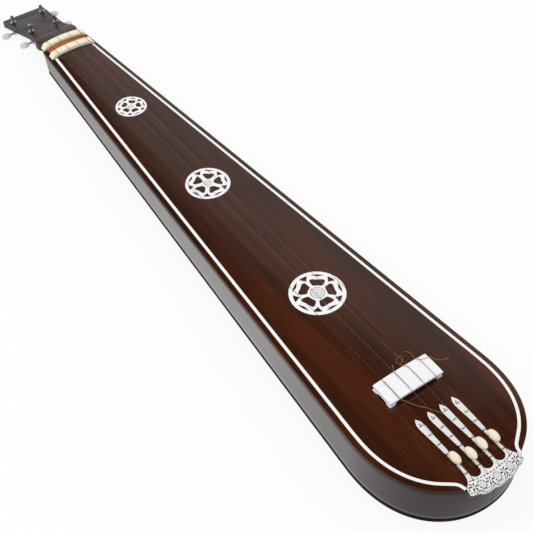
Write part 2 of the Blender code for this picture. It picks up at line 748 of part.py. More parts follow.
def make_bridge():
    """A wide plate on two feet, each with a toe at either end."""
    half = BRIDGE_LENGTH / 2
    loops = []
    for share in (-1, -0.5, 0, 0.5, 1):
        y = BRIDGE_Y + share * BRIDGE_WIDTH / 2
        step, foot = half - FOOT_STEP, half - FOOT_LENGTH
        loop = [(x, y, bridge_top(x, y)) for x in (-half, -0.66 * half, -0.33 * half, 0, 0.33 * half, 0.66 * half, half)]
        toe = half - FOOT_IN
        under = [(half, 0), (step, -FOOT_LIP)]
        loop += [(x, y, bridge_top(x, y) - BRIDGE_PLATE_THICK * 0.62 + dz) for x, dz in under]
        loop += [(toe, y, board_z(half, y) + GAP + FOOT_TOE), (toe, y, board_z(half, y) + GAP)]
        loop += [(foot, y, board_z(foot, y) + GAP), (foot, y, bridge_top(foot, y) - BRIDGE_PLATE_THICK - FOOT_LIP)]
        loop += [(x, y, bridge_top(x, y) - BRIDGE_PLATE_THICK) for x in (foot - FOOT_SLOPE, 0, FOOT_SLOPE - foot)]
        loop += [(-foot, y, bridge_top(foot, y) - BRIDGE_PLATE_THICK - FOOT_LIP), (-foot, y, board_z(foot, y) + GAP)]
        loop += [(-toe, y, board_z(half, y) + GAP), (-toe, y, board_z(half, y) + GAP + FOOT_TOE)]
        loop += [(-x, y, bridge_top(x, y) - BRIDGE_PLATE_THICK * 0.62 + dz) for x, dz in reversed(under)]
        loops.append(loop)
    bridge = loft("bridge", loops, "bridge_white")
    arch = BRIDGE_WIDTH / 2 - TOE_LENGTH
    floor = board_z(half, BRIDGE_Y)
    ring = [(-arch, -TOE_ARCH_HEIGHT), (-arch, 0.4 * TOE_ARCH_HEIGHT), (-0.6 * arch, TOE_ARCH_HEIGHT)]
    ring += [(-y, z) for y, z in reversed(ring)]
    loops = [[(x, BRIDGE_Y + y, floor + z) for y, z in ring] for x in (-half - MM, half + MM)]
    cut(bridge, loft("toe_arch_cutter", loops, "bridge_white"))
    return bridge


# Tail plate


def string_hole(name, x, low, high, wider=1.0):
    """A round cutter down through the tail, where a string goes in."""
    return solid_turned(
        name, [(HOLE_RADIUS * wider, low), (HOLE_RADIUS * wider, high)], 10, "white_inlay",
        Matrix.Translation((x, hole_y(x), 0)),
    )


def plate_place(x, y, height):
    """Where a point of the flat tail plate goes: on the board, and past the tail's edge rolled over and down."""
    edge = tail_edge(x)
    past = edge - y
    if past <= 0:
        return (x, y, board_z(x, y) + height)
    turn = PLATE_BEND_RADIUS
    quarter = turn * math.pi / 2
    reach = turn + height
    angle = min(past / turn, math.pi / 2)
    drop = max(0.0, past - quarter)
    return (x, edge - reach * math.sin(angle), rim_z(edge) - turn + reach * math.cos(angle) - drop)


def finger_side(x, side):
    """One side of a finger from its root up to its tip."""
    tip = TAIL_Y + PLATE_ROOT_FROM_TAIL + FINGER_LENGTH
    half = FINGER_WIDTH / 2
    return [(x + side * half * wide, tip - share * FINGER_LENGTH) for share, wide in FINGER_SHAPE]


def plate_corner():
    """The left edge of the plate, from its corner at the tail's edge up the outer finger, as (x, y)."""
    root = TAIL_Y + PLATE_ROOT_FROM_TAIL
    finger = STRING_X[0] - FINGER_SHAPE[0][1] * FINGER_WIDTH / 2
    corner = -PLATE_WIDTH / 2
    low = tail_edge(corner)
    places = []
    for share in (0, 0.3, 0.6, 0.85):
        rest = 1 - share
        x = rest**2 * corner + 2 * rest * share * finger + share**2 * finger
        y = rest**2 * low + 2 * rest * share * mix(low, root, 0.7) + share**2 * (root + PLATE_FLARE)
        places.append((x, y))
    return places


def plate_lip():
    """The scalloped lower edge, from right to left, as (x, y) on the flat sheet."""
    places = []
    for lobe in range(LOBES):
        for k in range(6):
            x = LOBE_WIDTH * (LOBES / 2 - lobe - (k + 0.5) / 6)
            bump = LOBE_DEPTH * math.sin(math.pi * (k + 0.5) / 6)
            places.append((x, tail_edge(x) - PLATE_LIP + LOBE_DEPTH - bump))
    return places


def plate_outline():
    """The flat plate's outline, from its left corner over the four fingers and back along the lip."""
    root = TAIL_Y + PLATE_ROOT_FROM_TAIL
    tip = root + FINGER_LENGTH
    places = plate_corner()
    for i, x in enumerate(STRING_X):
        places += finger_side(x, -1) + [(x, tip)] + finger_side(x, 1)[::-1]
        if i < 3:
            radius = (STRING_SPACING - FINGER_SHAPE[0][1] * FINGER_WIDTH) / 2
            middle = x + STRING_SPACING / 2
            for k in range(6):
                angle = math.pi * (k + 0.5) / 6
                places.append((middle - radius * math.cos(angle), root + radius - radius * math.sin(angle)))
    places += [(-x, y) for x, y in reversed(plate_corner())]
    return places + plate_lip()


def make_tail_plate():
    """The plate with four fingers on the board and a scalloped lip folded over the tail."""
    outline = plate_outline()
    holes = []
    for x in STRING_X:
        ring = [2 * math.pi * k / 8 for k in range(8)]
        holes.append([(x + HOLE_RADIUS * math.cos(a), hole_y(x) + HOLE_RADIUS * math.sin(a)) for a in ring])
    extra = []
    for k in range(13):
        x = PLATE_WIDTH / 2 * (k / 6 - 1) * 0.94
        for past in (0.0, 0.2, 0.4, 0.6):
            extra.append((x, tail_edge(x) - past * PLATE_BEND_RADIUS * math.pi / 2))
    return sheet(
        "tail_plate", outline, holes, extra,
        lambda x, y: plate_place(x, y, PLATE_LIFT + PLATE_THICK), lambda x, y: plate_place(x, y, PLATE_LIFT),
        "engraved_silver",
    )


# Beads, strings and threads


def plate_top(x, y):
    return board_z(x, y) + PLATE_LIFT + PLATE_THICK


def bead_line(x):
    """Two ends of the straight run that a bead slides along, clear of the plate below it."""
    reach = BEAD_TRAVEL + BEAD_LENGTH / 2 + BEAD_END_ROOM
    lift = BEAD_RADIUS + GAP
    places = [BEAD_Y + reach * (k / 5 - 1) for k in range(11)]
    slope = (plate_top(x, places[-1]) - plate_top(x, places[0])) / (2 * reach)
    height = max(plate_top(x, y) - slope * (y - BEAD_Y) for y in places) + lift
    tail = Vector((x, BEAD_Y - reach, height - slope * reach))
    head = Vector((x, BEAD_Y + reach, height + slope * reach))
    return tail, head


def make_bead(number, x):
    """An ivory coloured bead threaded on a string."""
    tail, head = bead_line(x)
    middle = (tail + head) / 2
    along = (head - tail).normalized()
    turn = along.to_track_quat("Z", "Y").to_matrix().to_4x4()
    half = BEAD_LENGTH / 2
    widest = math.acos(BEAD_END_RADIUS / BEAD_RADIUS)
    profile = []
    for k in range(9):
        angle = widest * (k / 4 - 1)
        profile.append((BEAD_RADIUS * math.cos(angle), half * math.sin(angle) / math.sin(widest)))
    profile += [(BEAD_BORE, half), (BEAD_BORE, -half)]
    bead = turned(f"bead_{number}", profile, 16, "ivory", turn)
    bead.location = middle + along * BEAD_SHIFTS[number]
    return bead


def head_matrix():
    """The head's own frame: x across, y along it, z off its face, from the end of the soundboard."""
    place = Matrix.Translation((0, BOARD_END_Y, rim_z(BOARD_END_Y) + HEAD_RAISE))
    return place @ Matrix.Rotation(-HEAD_TILT, 4, "X")


def post_of(number):
    """Place of a string's post on the head, as (x, y)."""
    x, share = POSTS["near" if STRING_KIND[number] == "outer" else "far"]
    return (math.copysign(x, STRING_X[number]), share * HEAD_LENGTH)


def heading(places, i):
    """Direction of a smooth curve at one of its points, which follows the nearer neighbour more."""
    here = places[i]
    if i == 0 or i == len(places) - 1:
        other = places[1] if i == 0 else places[i - 1]
        return (other - here).normalized() * (1 if i == 0 else -1)
    back, on = here - places[i - 1], places[i + 1] - here
    return (back.normalized() * on.length + on.normalized() * back.length) / (back.length + on.length)


def smooth_route(places, spacing):
    """Points read from a smooth curve through the route's own points."""
    points = []
    for i in range(len(places) - 1):
        a, b = places[i], places[i + 1]
        reach = (b - a).length
        start, end = heading(places, i) * reach, heading(places, i + 1) * reach
        steps = max(1, round(reach / spacing))
        for k in range(steps):
            t = k / steps
            points.append(
                a * (2 * t**3 - 3 * t**2 + 1) + start * (t**3 - 2 * t**2 + t)
                + b * (3 * t**2 - 2 * t**3) + end * (t**3 - t**2))
    points.append(places[-1])
    return points


def make_string(number):
    """One string from the tail block over the bridge, nut and guide to three turns round its post."""
    x = STRING_X[number]
    radius = STRING_RADIUS[STRING_KIND[number]]
    lift = radius + GAP
    tail, head = bead_line(x)
    entry = hole_y(x)
    hole_top = plate_top(x, entry)
    route = [
        Vector((x, entry, rim_z(entry) - STRING_ANCHOR_DEPTH)),
        Vector((x, entry, hole_top + 0.6 * MM)),
        Vector((x, entry + 1.2 * MM, hole_top + 1.9 * MM)),
        tail, head,
    ]
    for share in (-0.9, -0.45, 0, 0.45, 0.9):
        y = BRIDGE_Y + share * BRIDGE_WIDTH / 2
        route.append(Vector((x, y, bridge_top(x, y) + lift + 2 * THREAD_RADIUS + GAP)))
    for y, width in ((NUT_Y, NUT_WIDTH), (GUIDE_Y, GUIDE_WIDTH)):
        for share in (-0.4, 0.4):
            route.append(Vector((x, y + share * width, rim_z(y) + bar_rise(x) + lift + 0.1 * MM)))
    frame = head_matrix()
    px, py = post_of(number)
    side = math.copysign(1, x)
    wind = POST_WAIST_RADIUS + radius + GAP
    last = frame.inverted() @ route[-1]
    away = Vector((last.x - px, last.y - py))
    start = math.atan2(away.y, away.x) - side * math.acos(wind / away.length)
    steps = 14 * WINDING_TURNS
    for k in range(steps + 1):
        turn = 2 * math.pi * k / 14
        angle = start - side * turn
        height = POST_HEIGHT - WINDING_FROM_TOP - WINDING_PITCH * turn / (2 * math.pi)
        route.append(frame @ Vector((px + wind * math.cos(angle), py + wind * math.sin(angle), height)))
    finish = "bronze_wire" if STRING_KIND[number] == "outer" else "steel_wire"
    return wire(f"string_{number + 1}", route, radius, finish)


def thread_point(number, across, past, height):
    """A point of a thread from its shares; see THREAD_ROUTES."""
    side = THREAD_EDGE[number]
    x = STRING_X[number - 1] + across * (BRIDGE_LENGTH / 2 - STRING_X[3])
    y = BRIDGE_Y + side * BRIDGE_WIDTH * (0.5 + past)
    across_top = min(x, BRIDGE_LENGTH / 2)
    along_top = BRIDGE_Y + side * BRIDGE_WIDTH * min(0.5, 0.5 + past)
    surface = mix(board_z(x, y), bridge_top(across_top, along_top), height)
    return Vector((x, y, surface + THREAD_RADIUS + GAP))


def make_thread(number):
    """A cotton thread between a string and the bridge, with its loose end hanging over the edge."""
    route = [thread_point(number, *place) for place in THREAD_ROUTES[number]]
    return wire(f"thread_{number}", smooth_route(route, 1.5 * MM), THREAD_RADIUS, "thread")


# Head


def head_outline():
    """Right side of the head plate and its tongue, from the neck to the far end, as (x, y)."""
    waist, end = HEAD_WAIST_WIDTH / 2, HEAD_END_WIDTH / 2
    return [
        (TONGUE_WIDTH / 2, GAP), (TONGUE_WIDTH / 2, COLLAR_LENGTH + GAP),
        (waist + HEAD_SHOULDER, COLLAR_LENGTH + GAP), (waist + 0.2 * HEAD_SHOULDER, HEAD_WAIST_AT - 2 * HEAD_SHOULDER),
        (waist, HEAD_WAIST_AT + 2 * HEAD_SHOULDER),
        (end - 0.2 * HEAD_CORNER, HEAD_LENGTH - HEAD_CORNER), (end - HEAD_CORNER, HEAD_LENGTH),
    ]


def joint_plane(z):
    """How far along the head the upright end of the body lies, for a height z over the head's face."""
    return (GAP - z * math.sin(HEAD_TILT)) / math.cos(HEAD_TILT)


def make_head_plate():
    frame = head_matrix()
    right = head_outline()
    outline = right + [(-x, y) for x, y in reversed(right)]
    rings = []
    for z in (-HEAD_THICK, 0):
        rings.append([frame @ Vector((x, max(y, joint_plane(z)), z)) for x, y in outline])
    plate = loft("head_plate", rings, "head_wood")
    reach = TONGUE_WIDTH
    slab = loft("tongue_cutter", [
        [frame @ Vector(p) for p in loop]
        for loop in box_points((-reach, -HEAD_THICK, -TONGUE_SINK), (reach, COLLAR_LENGTH + 2 * GAP, HEAD_THICK))
    ], "head_wood")
    cut(plate, slab)
    for kind, (x, share) in POSTS.items():
        for side, word in SIDE_NAMES.items():
            place = frame @ Matrix.Translation((side * x, share * HEAD_LENGTH, 0))
            radius = POST_RADIUS + 2 * GAP + BUSHING_WALL
            cut(plate, solid_turned(f"head_hole_{kind}_{word}", [(radius, -2 * HEAD_THICK), (radius, HEAD_THICK)],
                                    16, "head_wood", place))
    return plate


def make_collar():
    """A saddle over the head plate's tongue, with a rounded ear on each side."""
    frame = head_matrix()
    half, inner = COLLAR_WIDTH / 2, TONGUE_WIDTH / 2 + GAP
    neck = half - COLLAR_NECK_IN
    loops = []
    for share, width, rise in (
        (0, neck, 0.2), (0.22, neck, 0.6), (0.34, half - 0.4 * COLLAR_NECK_IN, 1), (0.45, half, 1), (0.7, half, 1),
        (0.86, half - 0.3 * COLLAR_END_IN, 0.9), (0.96, half - 0.77 * COLLAR_END_IN, 0.4), (1, half - COLLAR_END_IN, 0),
    ):
        y = GAP + share * (COLLAR_LENGTH - GAP)
        top = COLLAR_COVER * rise
        loops.append([frame @ Vector((x, max(y, joint_plane(z)), z)) for x, z in (
            (width, -COLLAR_THICK), (width, top - COLLAR_EDGE), (width - COLLAR_EDGE, top),
            (COLLAR_EDGE - width, top), (-width, top - COLLAR_EDGE), (-width, -COLLAR_THICK),
            (-inner, -COLLAR_THICK), (-inner, GAP - TONGUE_SINK), (inner, GAP - TONGUE_SINK),
            (inner, -COLLAR_THICK))])
    return loft("head_collar", loops, "head_wood")


# Machine heads


def make_bushing(tag, place):
    inner = POST_RADIUS + GAP
    outer = inner + BUSHING_WALL
    profile = [
        (inner, -BUSHING_DEPTH), (outer, -BUSHING_DEPTH), (outer, GAP), (BUSHING_FLANGE, GAP),
        (BUSHING_FLANGE, 0.5 * BUSHING_RISE), (BUSHING_FLANGE - 0.4 * BUSHING_RISE, BUSHING_RISE), (inner, BUSHING_RISE),
    ]
    return turned("bushing_" + tag, profile, 16, "chrome", place)


def worm_place(place):
    """Frame of a worm: its z runs along the shaft, outwards."""
    offset = GEAR_RADIUS + WORM_RADIUS + GAP
    drop = HEAD_THICK + GAP + HOUSING_THICK + SHAFT_DROP
    return place @ Matrix.Translation((0, offset, -drop)) @ Matrix.Rotation(math.pi / 2, 4, "Y")


def make_housing(tag, place):
    """The plate under the head, with two ears that carry the worm shaft."""
    top = -HEAD_THICK - GAP
    offset = GEAR_RADIUS + WORM_RADIUS + GAP
    long, wide = HOUSING_LENGTH, HOUSING_WIDTH
    back = -HOUSING_BEHIND
    low = (-wide / 2, back, top - HOUSING_THICK)
    high = (wide / 2, back + long, top)
    housing = loft("housing_" + tag, [[place @ Vector(p) for p in loop] for loop in box_points(low, high)], "chrome")
    for end in (-1, 1):
        inner = end * (WORM_LENGTH / 2 + GAP)
        x0, x1 = sorted((inner, inner + end * EAR_THICK))
        ear_low = (x0, offset - EAR_LENGTH / 2, top - HOUSING_THICK - EAR_DROP)
        ear_high = (x1, offset + EAR_LENGTH / 2, top - 0.5 * HOUSING_THICK)
        word = "outer" if end > 0 else "inner"
        ear = loft(f"ear_{word}_{tag}", [[place @ Vector(p) for p in loop] for loop in box_points(ear_low, ear_high)], "chrome")
        join_to(housing, ear)
    shaft = solid_turned(
        "shaft_hole_" + tag, [(SHAFT_RADIUS + GAP, -wide), (SHAFT_RADIUS + GAP, wide)], 12, "chrome", worm_place(place))
    cut(housing, shaft)
    radius = POST_FOOT_RADIUS + GAP
    cut(housing, solid_turned("post_hole_" + tag, [(radius, -3 * HEAD_THICK), (radius, 0)], 12, "chrome", place))
    return housing


def make_worm(tag, place, edge):
    """The worm and its shaft out to the button."""
    frame = worm_place(place)
    half = WORM_LENGTH / 2
    reach = edge + BUTTON_FROM_EDGE - BUTTON_LENGTH / 2 + SHAFT_IN_BUTTON
    inner_end = -half - GAP - EAR_THICK - SHAFT_END
    profile = [(SHAFT_RADIUS, inner_end), (SHAFT_RADIUS, -half)]
    pitch = WORM_LENGTH / WORM_THREADS
    for k in range(WORM_THREADS):
        z = -half + k * pitch
        profile += [(0.74 * WORM_RADIUS, z + 0.05 * pitch), (WORM_RADIUS, z + 0.4 * pitch), (WORM_RADIUS, z + 0.6 * pitch),
                    (0.74 * WORM_RADIUS, z + 0.95 * pitch)]
    profile += [(SHAFT_RADIUS, half), (SHAFT_RADIUS, reach)]
    worm = solid_turned("worm_shaft_" + tag, profile, 12, "chrome", Matrix.Identity(4))
    worm.matrix_world = frame
    return worm


def make_button(tag, place, edge):
    """An oval button on the end of the worm shaft."""
    frame = worm_place(place)
    middle = edge + BUTTON_FROM_EDGE
    loops = []
    for share, width in ((-1, 0.34), (-0.72, 0.62), (-0.3, 0.93), (0.15, 1.0), (0.6, 0.84), (0.88, 0.56), (1, 0.3)):
        z = middle + share * BUTTON_LENGTH / 2
        ring = [2 * math.pi * k / 14 for k in range(14)]
        thick = 0.55 + 0.45 * width
        loops.append([(BUTTON_THICK / 2 * thick * math.cos(a), BUTTON_HEIGHT / 2 * width * math.sin(a), z) for a in ring])
    button = loft("button_" + tag, loops, "pearl", True)
    button.matrix_world = frame
    bore = solid_turned(
        "button_bore_" + tag,
        [(SHAFT_RADIUS + GAP, middle - BUTTON_LENGTH), (SHAFT_RADIUS + GAP, middle - BUTTON_LENGTH / 2 + SHAFT_IN_BUTTON + GAP)],
        12, "pearl", Matrix.Identity(4))
    bore.matrix_world = frame
    cut(button, bore)
    return button


def make_post(tag, place):
    """The string post, down through the head to its gear."""
    gear_low = -HEAD_THICK - GAP - HOUSING_THICK - SHAFT_DROP - GEAR_THICK / 2
    shoulder = -HEAD_THICK + GAP
    profile = [
        (POST_FOOT_RADIUS, gear_low - SHAFT_END), (POST_FOOT_RADIUS, shoulder), (POST_RADIUS, shoulder),
        (POST_RADIUS, POST_BASE), (POST_WAIST_RADIUS, POST_BASE + POST_CONE),
        (POST_WAIST_RADIUS, POST_HEIGHT - POST_CAP - POST_CONE), (POST_RADIUS, POST_HEIGHT - POST_CAP),
        (POST_RADIUS, POST_HEIGHT - POST_EDGE), (POST_RADIUS - POST_EDGE, POST_HEIGHT),
    ]
    post = solid_turned("post_" + tag, profile, 16, "chrome", Matrix.Identity(4))
    post.matrix_world = place
    hole = solid_turned(
        "string_hole_" + tag, [(STRING_HOLE_RADIUS, -2 * POST_RADIUS), (STRING_HOLE_RADIUS, 2 * POST_RADIUS)], 8, "chrome",
        Matrix.Identity(4))
    height = POST_HEIGHT - STRING_HOLE_FROM_TOP
    hole.matrix_world = place @ Matrix.Translation((0, 0, height)) @ Matrix.Rotation(math.pi / 2, 4, "X")
    cut(post, hole)
    return post


def make_gear(tag, place):
    """The gear on the post's foot, driven by the worm."""
    middle = -HEAD_THICK - GAP - HOUSING_THICK - SHAFT_DROP
    outline = []
    for k in range(GEAR_TEETH):
        for share, radius in ((-0.28, GEAR_RADIUS - GEAR_TOOTH), (-0.14, GEAR_RADIUS), (0.14, GEAR_RADIUS), (0.28, GEAR_RADIUS - GEAR_TOOTH)):
            angle = 2 * math.pi * (k + share) / GEAR_TEETH
            outline.append((radius * math.cos(angle), radius * math.sin(angle)))
    ring = [2 * math.pi * k / 12 for k in range(12)]
    bore = [((POST_FOOT_RADIUS + GAP) * math.cos(a), (POST_FOOT_RADIUS + GAP) * math.sin(a)) for a in ring]
    gear = sheet(
        "gear_" + tag, outline, [bore], [],
        lambda x, y: (x, y, middle + GEAR_THICK / 2), lambda x, y: (x, y, middle - GEAR_THICK / 2), "chrome")
    gear.matrix_world = place
    return gear


def head_half_width(y):
    """Half the head plate's width at y along it."""
    share = (y - HEAD_WAIST_AT) / (HEAD_LENGTH - HEAD_WAIST_AT)
    return mix(HEAD_WAIST_WIDTH, HEAD_END_WIDTH, share) / 2


def make_machine_heads():
    frame = head_matrix()
    for kind, (x, share) in POSTS.items():
        y = share * HEAD_LENGTH
        for side, word in SIDE_NAMES.items():
            tag = f"{kind}_{word}"
            # all four are of one hand, so a left one is a right one turned half round
            turn = Matrix.Rotation(math.pi if side < 0 else 0, 4, "Z")
            place = frame @ Matrix.Translation((side * x, y, 0)) @ turn
            worm_y = y + side * (GEAR_RADIUS + WORM_RADIUS + GAP)
            edge = head_half_width(worm_y) - x
            make_bushing(tag, place)
            make_housing(tag, place)
            make_worm(tag, place, edge)
            make_button(tag, place, edge)
            make_post(tag, place)
            make_gear(tag, place)


def main():
    clear_scene()
    make_soundboard()
    make_back()
    for side, word in SIDE_NAMES.items():
        make_side(side)
        make_lining(side)
        edge_line("edge_line_" + word, side, 0, LINE_PROUD - LINE_THICK, LINE_PROUD)
    make_neck_block()
    make_tail_block()
    for name, share in BRACES.items():
        make_brace(name, share * BODY_LENGTH)
    make_back_brace()
    for name, (radius, share) in ROSETTES.items():
        make_rosette(name, radius, share * BODY_LENGTH)
    make_bar("nut", NUT_Y, NUT_WIDTH)
    make_bar("string_guide", GUIDE_Y, GUIDE_WIDTH)
    make_strip()
    make_bridge()
    make_tail_plate()
    for number, x in enumerate(STRING_X):
        make_bead(number + 1, x)
        make_string(number)
        make_thread(number + 1)
    make_head_plate()
    make_collar()
    make_machine_heads()


main()
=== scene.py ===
import json
import math

import bmesh
import bpy
from mathutils import Matrix, Vector
from mathutils.geometry import delaunay_2d_cdt


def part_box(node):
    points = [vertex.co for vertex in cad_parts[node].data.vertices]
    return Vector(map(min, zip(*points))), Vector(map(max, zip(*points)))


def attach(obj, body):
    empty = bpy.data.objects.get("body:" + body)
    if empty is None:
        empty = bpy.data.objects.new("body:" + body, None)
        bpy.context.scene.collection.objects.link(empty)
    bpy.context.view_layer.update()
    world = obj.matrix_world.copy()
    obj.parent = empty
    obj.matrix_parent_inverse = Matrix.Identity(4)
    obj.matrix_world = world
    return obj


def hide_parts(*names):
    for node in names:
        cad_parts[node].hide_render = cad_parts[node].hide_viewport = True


mm = 0.001
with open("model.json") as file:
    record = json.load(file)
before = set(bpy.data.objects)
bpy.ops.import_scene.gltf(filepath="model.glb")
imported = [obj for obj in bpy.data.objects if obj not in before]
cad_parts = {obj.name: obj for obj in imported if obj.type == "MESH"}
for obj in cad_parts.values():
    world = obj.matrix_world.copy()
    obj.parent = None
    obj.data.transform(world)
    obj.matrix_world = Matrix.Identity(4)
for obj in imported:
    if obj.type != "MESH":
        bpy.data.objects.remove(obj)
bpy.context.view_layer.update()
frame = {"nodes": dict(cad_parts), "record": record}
print("frame loaded")

cameraSettings = {
    "place": (-551.2 * mm, -843.1 * mm, 1092.6 * mm),
    "forward": (0.38058, 0.54490, -0.74715),
    "up": (0.43389, 0.60827, 0.66463),
    "lens": 75.0,
}


def makeCamera(settings):
    forward = Vector(settings["forward"]).normalized()
    right = forward.cross(Vector(settings["up"])).normalized()
    up = right.cross(forward)
    turn = Matrix((right, up, -forward)).transposed()
    data = bpy.data.cameras.new("camera")
    data.lens = settings["lens"]
    data.sensor_width = 36
    data.clip_start = 0.01
    camera = bpy.data.objects.new("camera", data)
    bpy.context.scene.collection.objects.link(camera)
    camera.matrix_world = Matrix.Translation(settings["place"]) @ turn.to_4x4()
    bpy.context.scene.camera = camera


makeCamera(cameraSettings)
bpy.context.scene.view_settings.view_transform = "Standard"
print("camera placed")


# the box's shape, as the solids have it
bodySettings = {
    "length": 958 * mm, "heelWidth": 77.5 * mm, "shoulderWidth": 199.4 * mm, "shoulderFromTail": 128.5 * mm,
    "tailDepth": 66.9 * mm, "heelDepth": 38 * mm, "roundAlong": 0.68, "roundAcross": 0.55,
    "crownHead": 5.5 * mm, "crownTail": 2.6 * mm, "crownFade": 80 * mm, "overhang": 18 * mm,
    "boardThick": 3.5 * mm, "backThick": 8 * mm,
}
tailY = -bodySettings["length"] / 2
heelY = bodySettings["length"] / 2
shoulderY = tailY + bodySettings["shoulderFromTail"]
boardEndY = heelY + bodySettings["overhang"]
stringX = [(i - 1.5) * 17.6 * mm for i in range(4)]


def mix(a, b, share):
    return a + (b - a) * share


def tailCurve(share):
    # half the rounded tail, from the shoulder at 0 to its middle at 1
    width = bodySettings["shoulderWidth"] / 2
    slope = (width - bodySettings["heelWidth"] / 2) / (heelY - shoulderY)
    along = bodySettings["roundAlong"] * bodySettings["shoulderFromTail"]
    points = (Vector((width, shoulderY)), Vector((width + slope * along, shoulderY - along)),
              Vector((bodySettings["roundAcross"] * width, tailY)), Vector((0, tailY)))
    rest = 1 - share
    return (rest**3 * points[0] + 3 * rest**2 * share * points[1]
            + 3 * rest * share**2 * points[2] + share**3 * points[3])


def tailEdge(x):
    low, high = 0.0, 1.0
    for _ in range(36):
        middle = (low + high) / 2
        low, high = (middle, high) if tailCurve(middle).x > abs(x) else (low, middle)
    return tailCurve(low).y


def halfWidth(y):
    if y >= shoulderY:
        return mix(bodySettings["shoulderWidth"], bodySettings["heelWidth"], (y - shoulderY) / (heelY - shoulderY)) / 2
    low, high = 0.0, 1.0
    for _ in range(36):
        middle = (low + high) / 2
        low, high = (middle, high) if tailCurve(middle).y > y else (low, middle)
    return tailCurve(low).x


def rimZ(y):
    return mix(bodySettings["tailDepth"], bodySettings["heelDepth"], (y - tailY) / bodySettings["length"])


def boardZ(x, y):
    share = min(1.0, abs(x) / halfWidth(max(y, tailY + 0.1 * mm)))
    crown = mix(bodySettings["crownTail"], bodySettings["crownHead"], (y - tailY) / bodySettings["length"])
    fade = min(1.0, max(0.0, (y - tailY) / bodySettings["crownFade"]))
    return rimZ(y) + crown * (1 - share**2) * (1 - (1 - fade) ** 2)


def outlinePath(endY, inset, stations, steps):
    # the right half of the outline, moved inwards, from endY to the middle of the tail
    places = [Vector((halfWidth(y), y)) for y in (mix(endY, shoulderY, i / stations) for i in range(stations))]
    places += [tailCurve(i / steps) for i in range(steps + 1)]
    moved = []
    for i, place in enumerate(places):
        along = (places[min(i + 1, len(places) - 1)] - places[max(i - 1, 0)]).normalized()
        if i == len(places) - 1:
            along = Vector((-1, 0))
        moved.append(place + Vector((along.y, -along.x)) * inset)
    if inset:
        moved[0].y = endY
    return moved


def heading(places, i):
    here = places[i]
    if i == 0:
        return (places[1] - here).normalized()
    if i == len(places) - 1:
        return (here - places[i - 1]).normalized()
    back, on = here - places[i - 1], places[i + 1] - here
    return (back.normalized() * on.length + on.normalized() * back.length) / (back.length + on.length)


def smoothRoute(places, spacing):
    points = []
    for i in range(len(places) - 1):
        a, b = places[i], places[i + 1]
        reach = (b - a).length
        start, end = heading(places, i) * reach, heading(places, i + 1) * reach
        steps = max(1, round(reach / spacing))
        for k in range(steps):
            t = k / steps
            points.append(a * (2 * t**3 - 3 * t**2 + 1) + start * (t**3 - 2 * t**2 + t)
                          + b * (3 * t**2 - 2 * t**3) + end * (t**3 - t**2))
    points.append(places[-1])
    return points


def smoothLoop(places, steps):
    # a closed smooth curve through its points
    count = len(places)
    points = []
    for i in range(count):
        a, b, c, d = (places[(i + k - 1) % count] for k in range(4))
        for k in range(steps):
            t = k / steps
            points.append(0.5 * (2 * b + (c - a) * t + (2 * a - 5 * b + 4 * c - d) * t**2
                                 + (3 * b - a - 3 * c + d) * t**3))
    return points


def linear(code):
    values = [int(code[i:i + 2], 16) / 255 for i in (1, 3, 5)]
    return (*[v / 12.92 if v <= 0.04045 else ((v + 0.055) / 1.055) ** 2.4 for v in values], 1)


def addNode(tree, kind, settings=None, links=None):
    made = tree.nodes.new(kind)
    for name, value in (settings or {}).items():
        if isinstance(name, int) or name in made.inputs:
            made.inputs[name].default_value = value
        else:
            setattr(made, name, value)
    for name, source in (links or {}).items():
        tree.links.new(source, made.inputs[name])
    return made


def ramp(tree, source, stops):
    made = addNode(tree, "ShaderNodeValToRGB", links={"Fac": source})
    points = made.color_ramp.elements
    while len(points) < len(stops):
        points.new(1.0)
    for point, (place, colour) in zip(points, stops):
        point.position = place
        point.color = linear(colour) if isinstance(colour, str) else (colour, colour, colour, 1)
    return made.outputs["Color"]


def newMaterial(name):
    made = bpy.data.materials.new(name)
    made.use_nodes = True
    tree = made.node_tree
    return made, tree, tree.nodes["Principled BSDF"]


def objectPlace(tree, scale=(1, 1, 1), turn=(0, 0, 0), move=(0, 0, 0)):
    where = addNode(tree, "ShaderNodeTexCoord")
    return addNode(tree, "ShaderNodeMapping", {"Scale": scale, "Rotation": turn, "Location": move},
                   {"Vector": where.outputs["Object"]}).outputs["Vector"]


def addBump(tree, shader, height, strength, distance):
    bump = addNode(tree, "ShaderNodeBump", {"Strength": strength, "Distance": distance}, {"Height": height})
    tree.links.new(bump.outputs["Normal"], shader.inputs["Normal"])


def deselect():
    if bpy.context.mode != "OBJECT":
        bpy.ops.object.mode_set(mode="OBJECT")
    bpy.ops.object.select_all(action="DESELECT")


def pick(obj):
    deselect()
    obj.select_set(True)
    bpy.context.view_layer.objects.active = obj


def applyAll(obj):
    pick(obj)
    for modifier in list(obj.modifiers):
        bpy.ops.object.modifier_apply(modifier=modifier.name)


def smooth(obj, degrees=35):
    pick(obj)
    bpy.ops.object.shade_smooth_by_angle(angle=math.radians(degrees))


def mergeAll(obj, distance=0.002 * mm):
    pick(obj)
    bpy.ops.object.mode_set(mode="EDIT")
    bpy.ops.mesh.select_all(action="SELECT")
    bpy.ops.mesh.remove_doubles(threshold=distance)
    bpy.ops.object.mode_set(mode="OBJECT")


def faceOutwards(obj):
    pick(obj)
    bpy.ops.object.mode_set(mode="EDIT")
    bpy.ops.mesh.select_all(action="SELECT")
    bpy.ops.mesh.normals_make_consistent(inside=False)
    bpy.ops.object.mode_set(mode="OBJECT")


def thicken(obj, thick):
    # the wall grows away from the faces' outer side
    made = obj.modifiers.new("wall", "SOLIDIFY")
    made.thickness = thick
    made.offset = -1
    made.use_even_offset = True


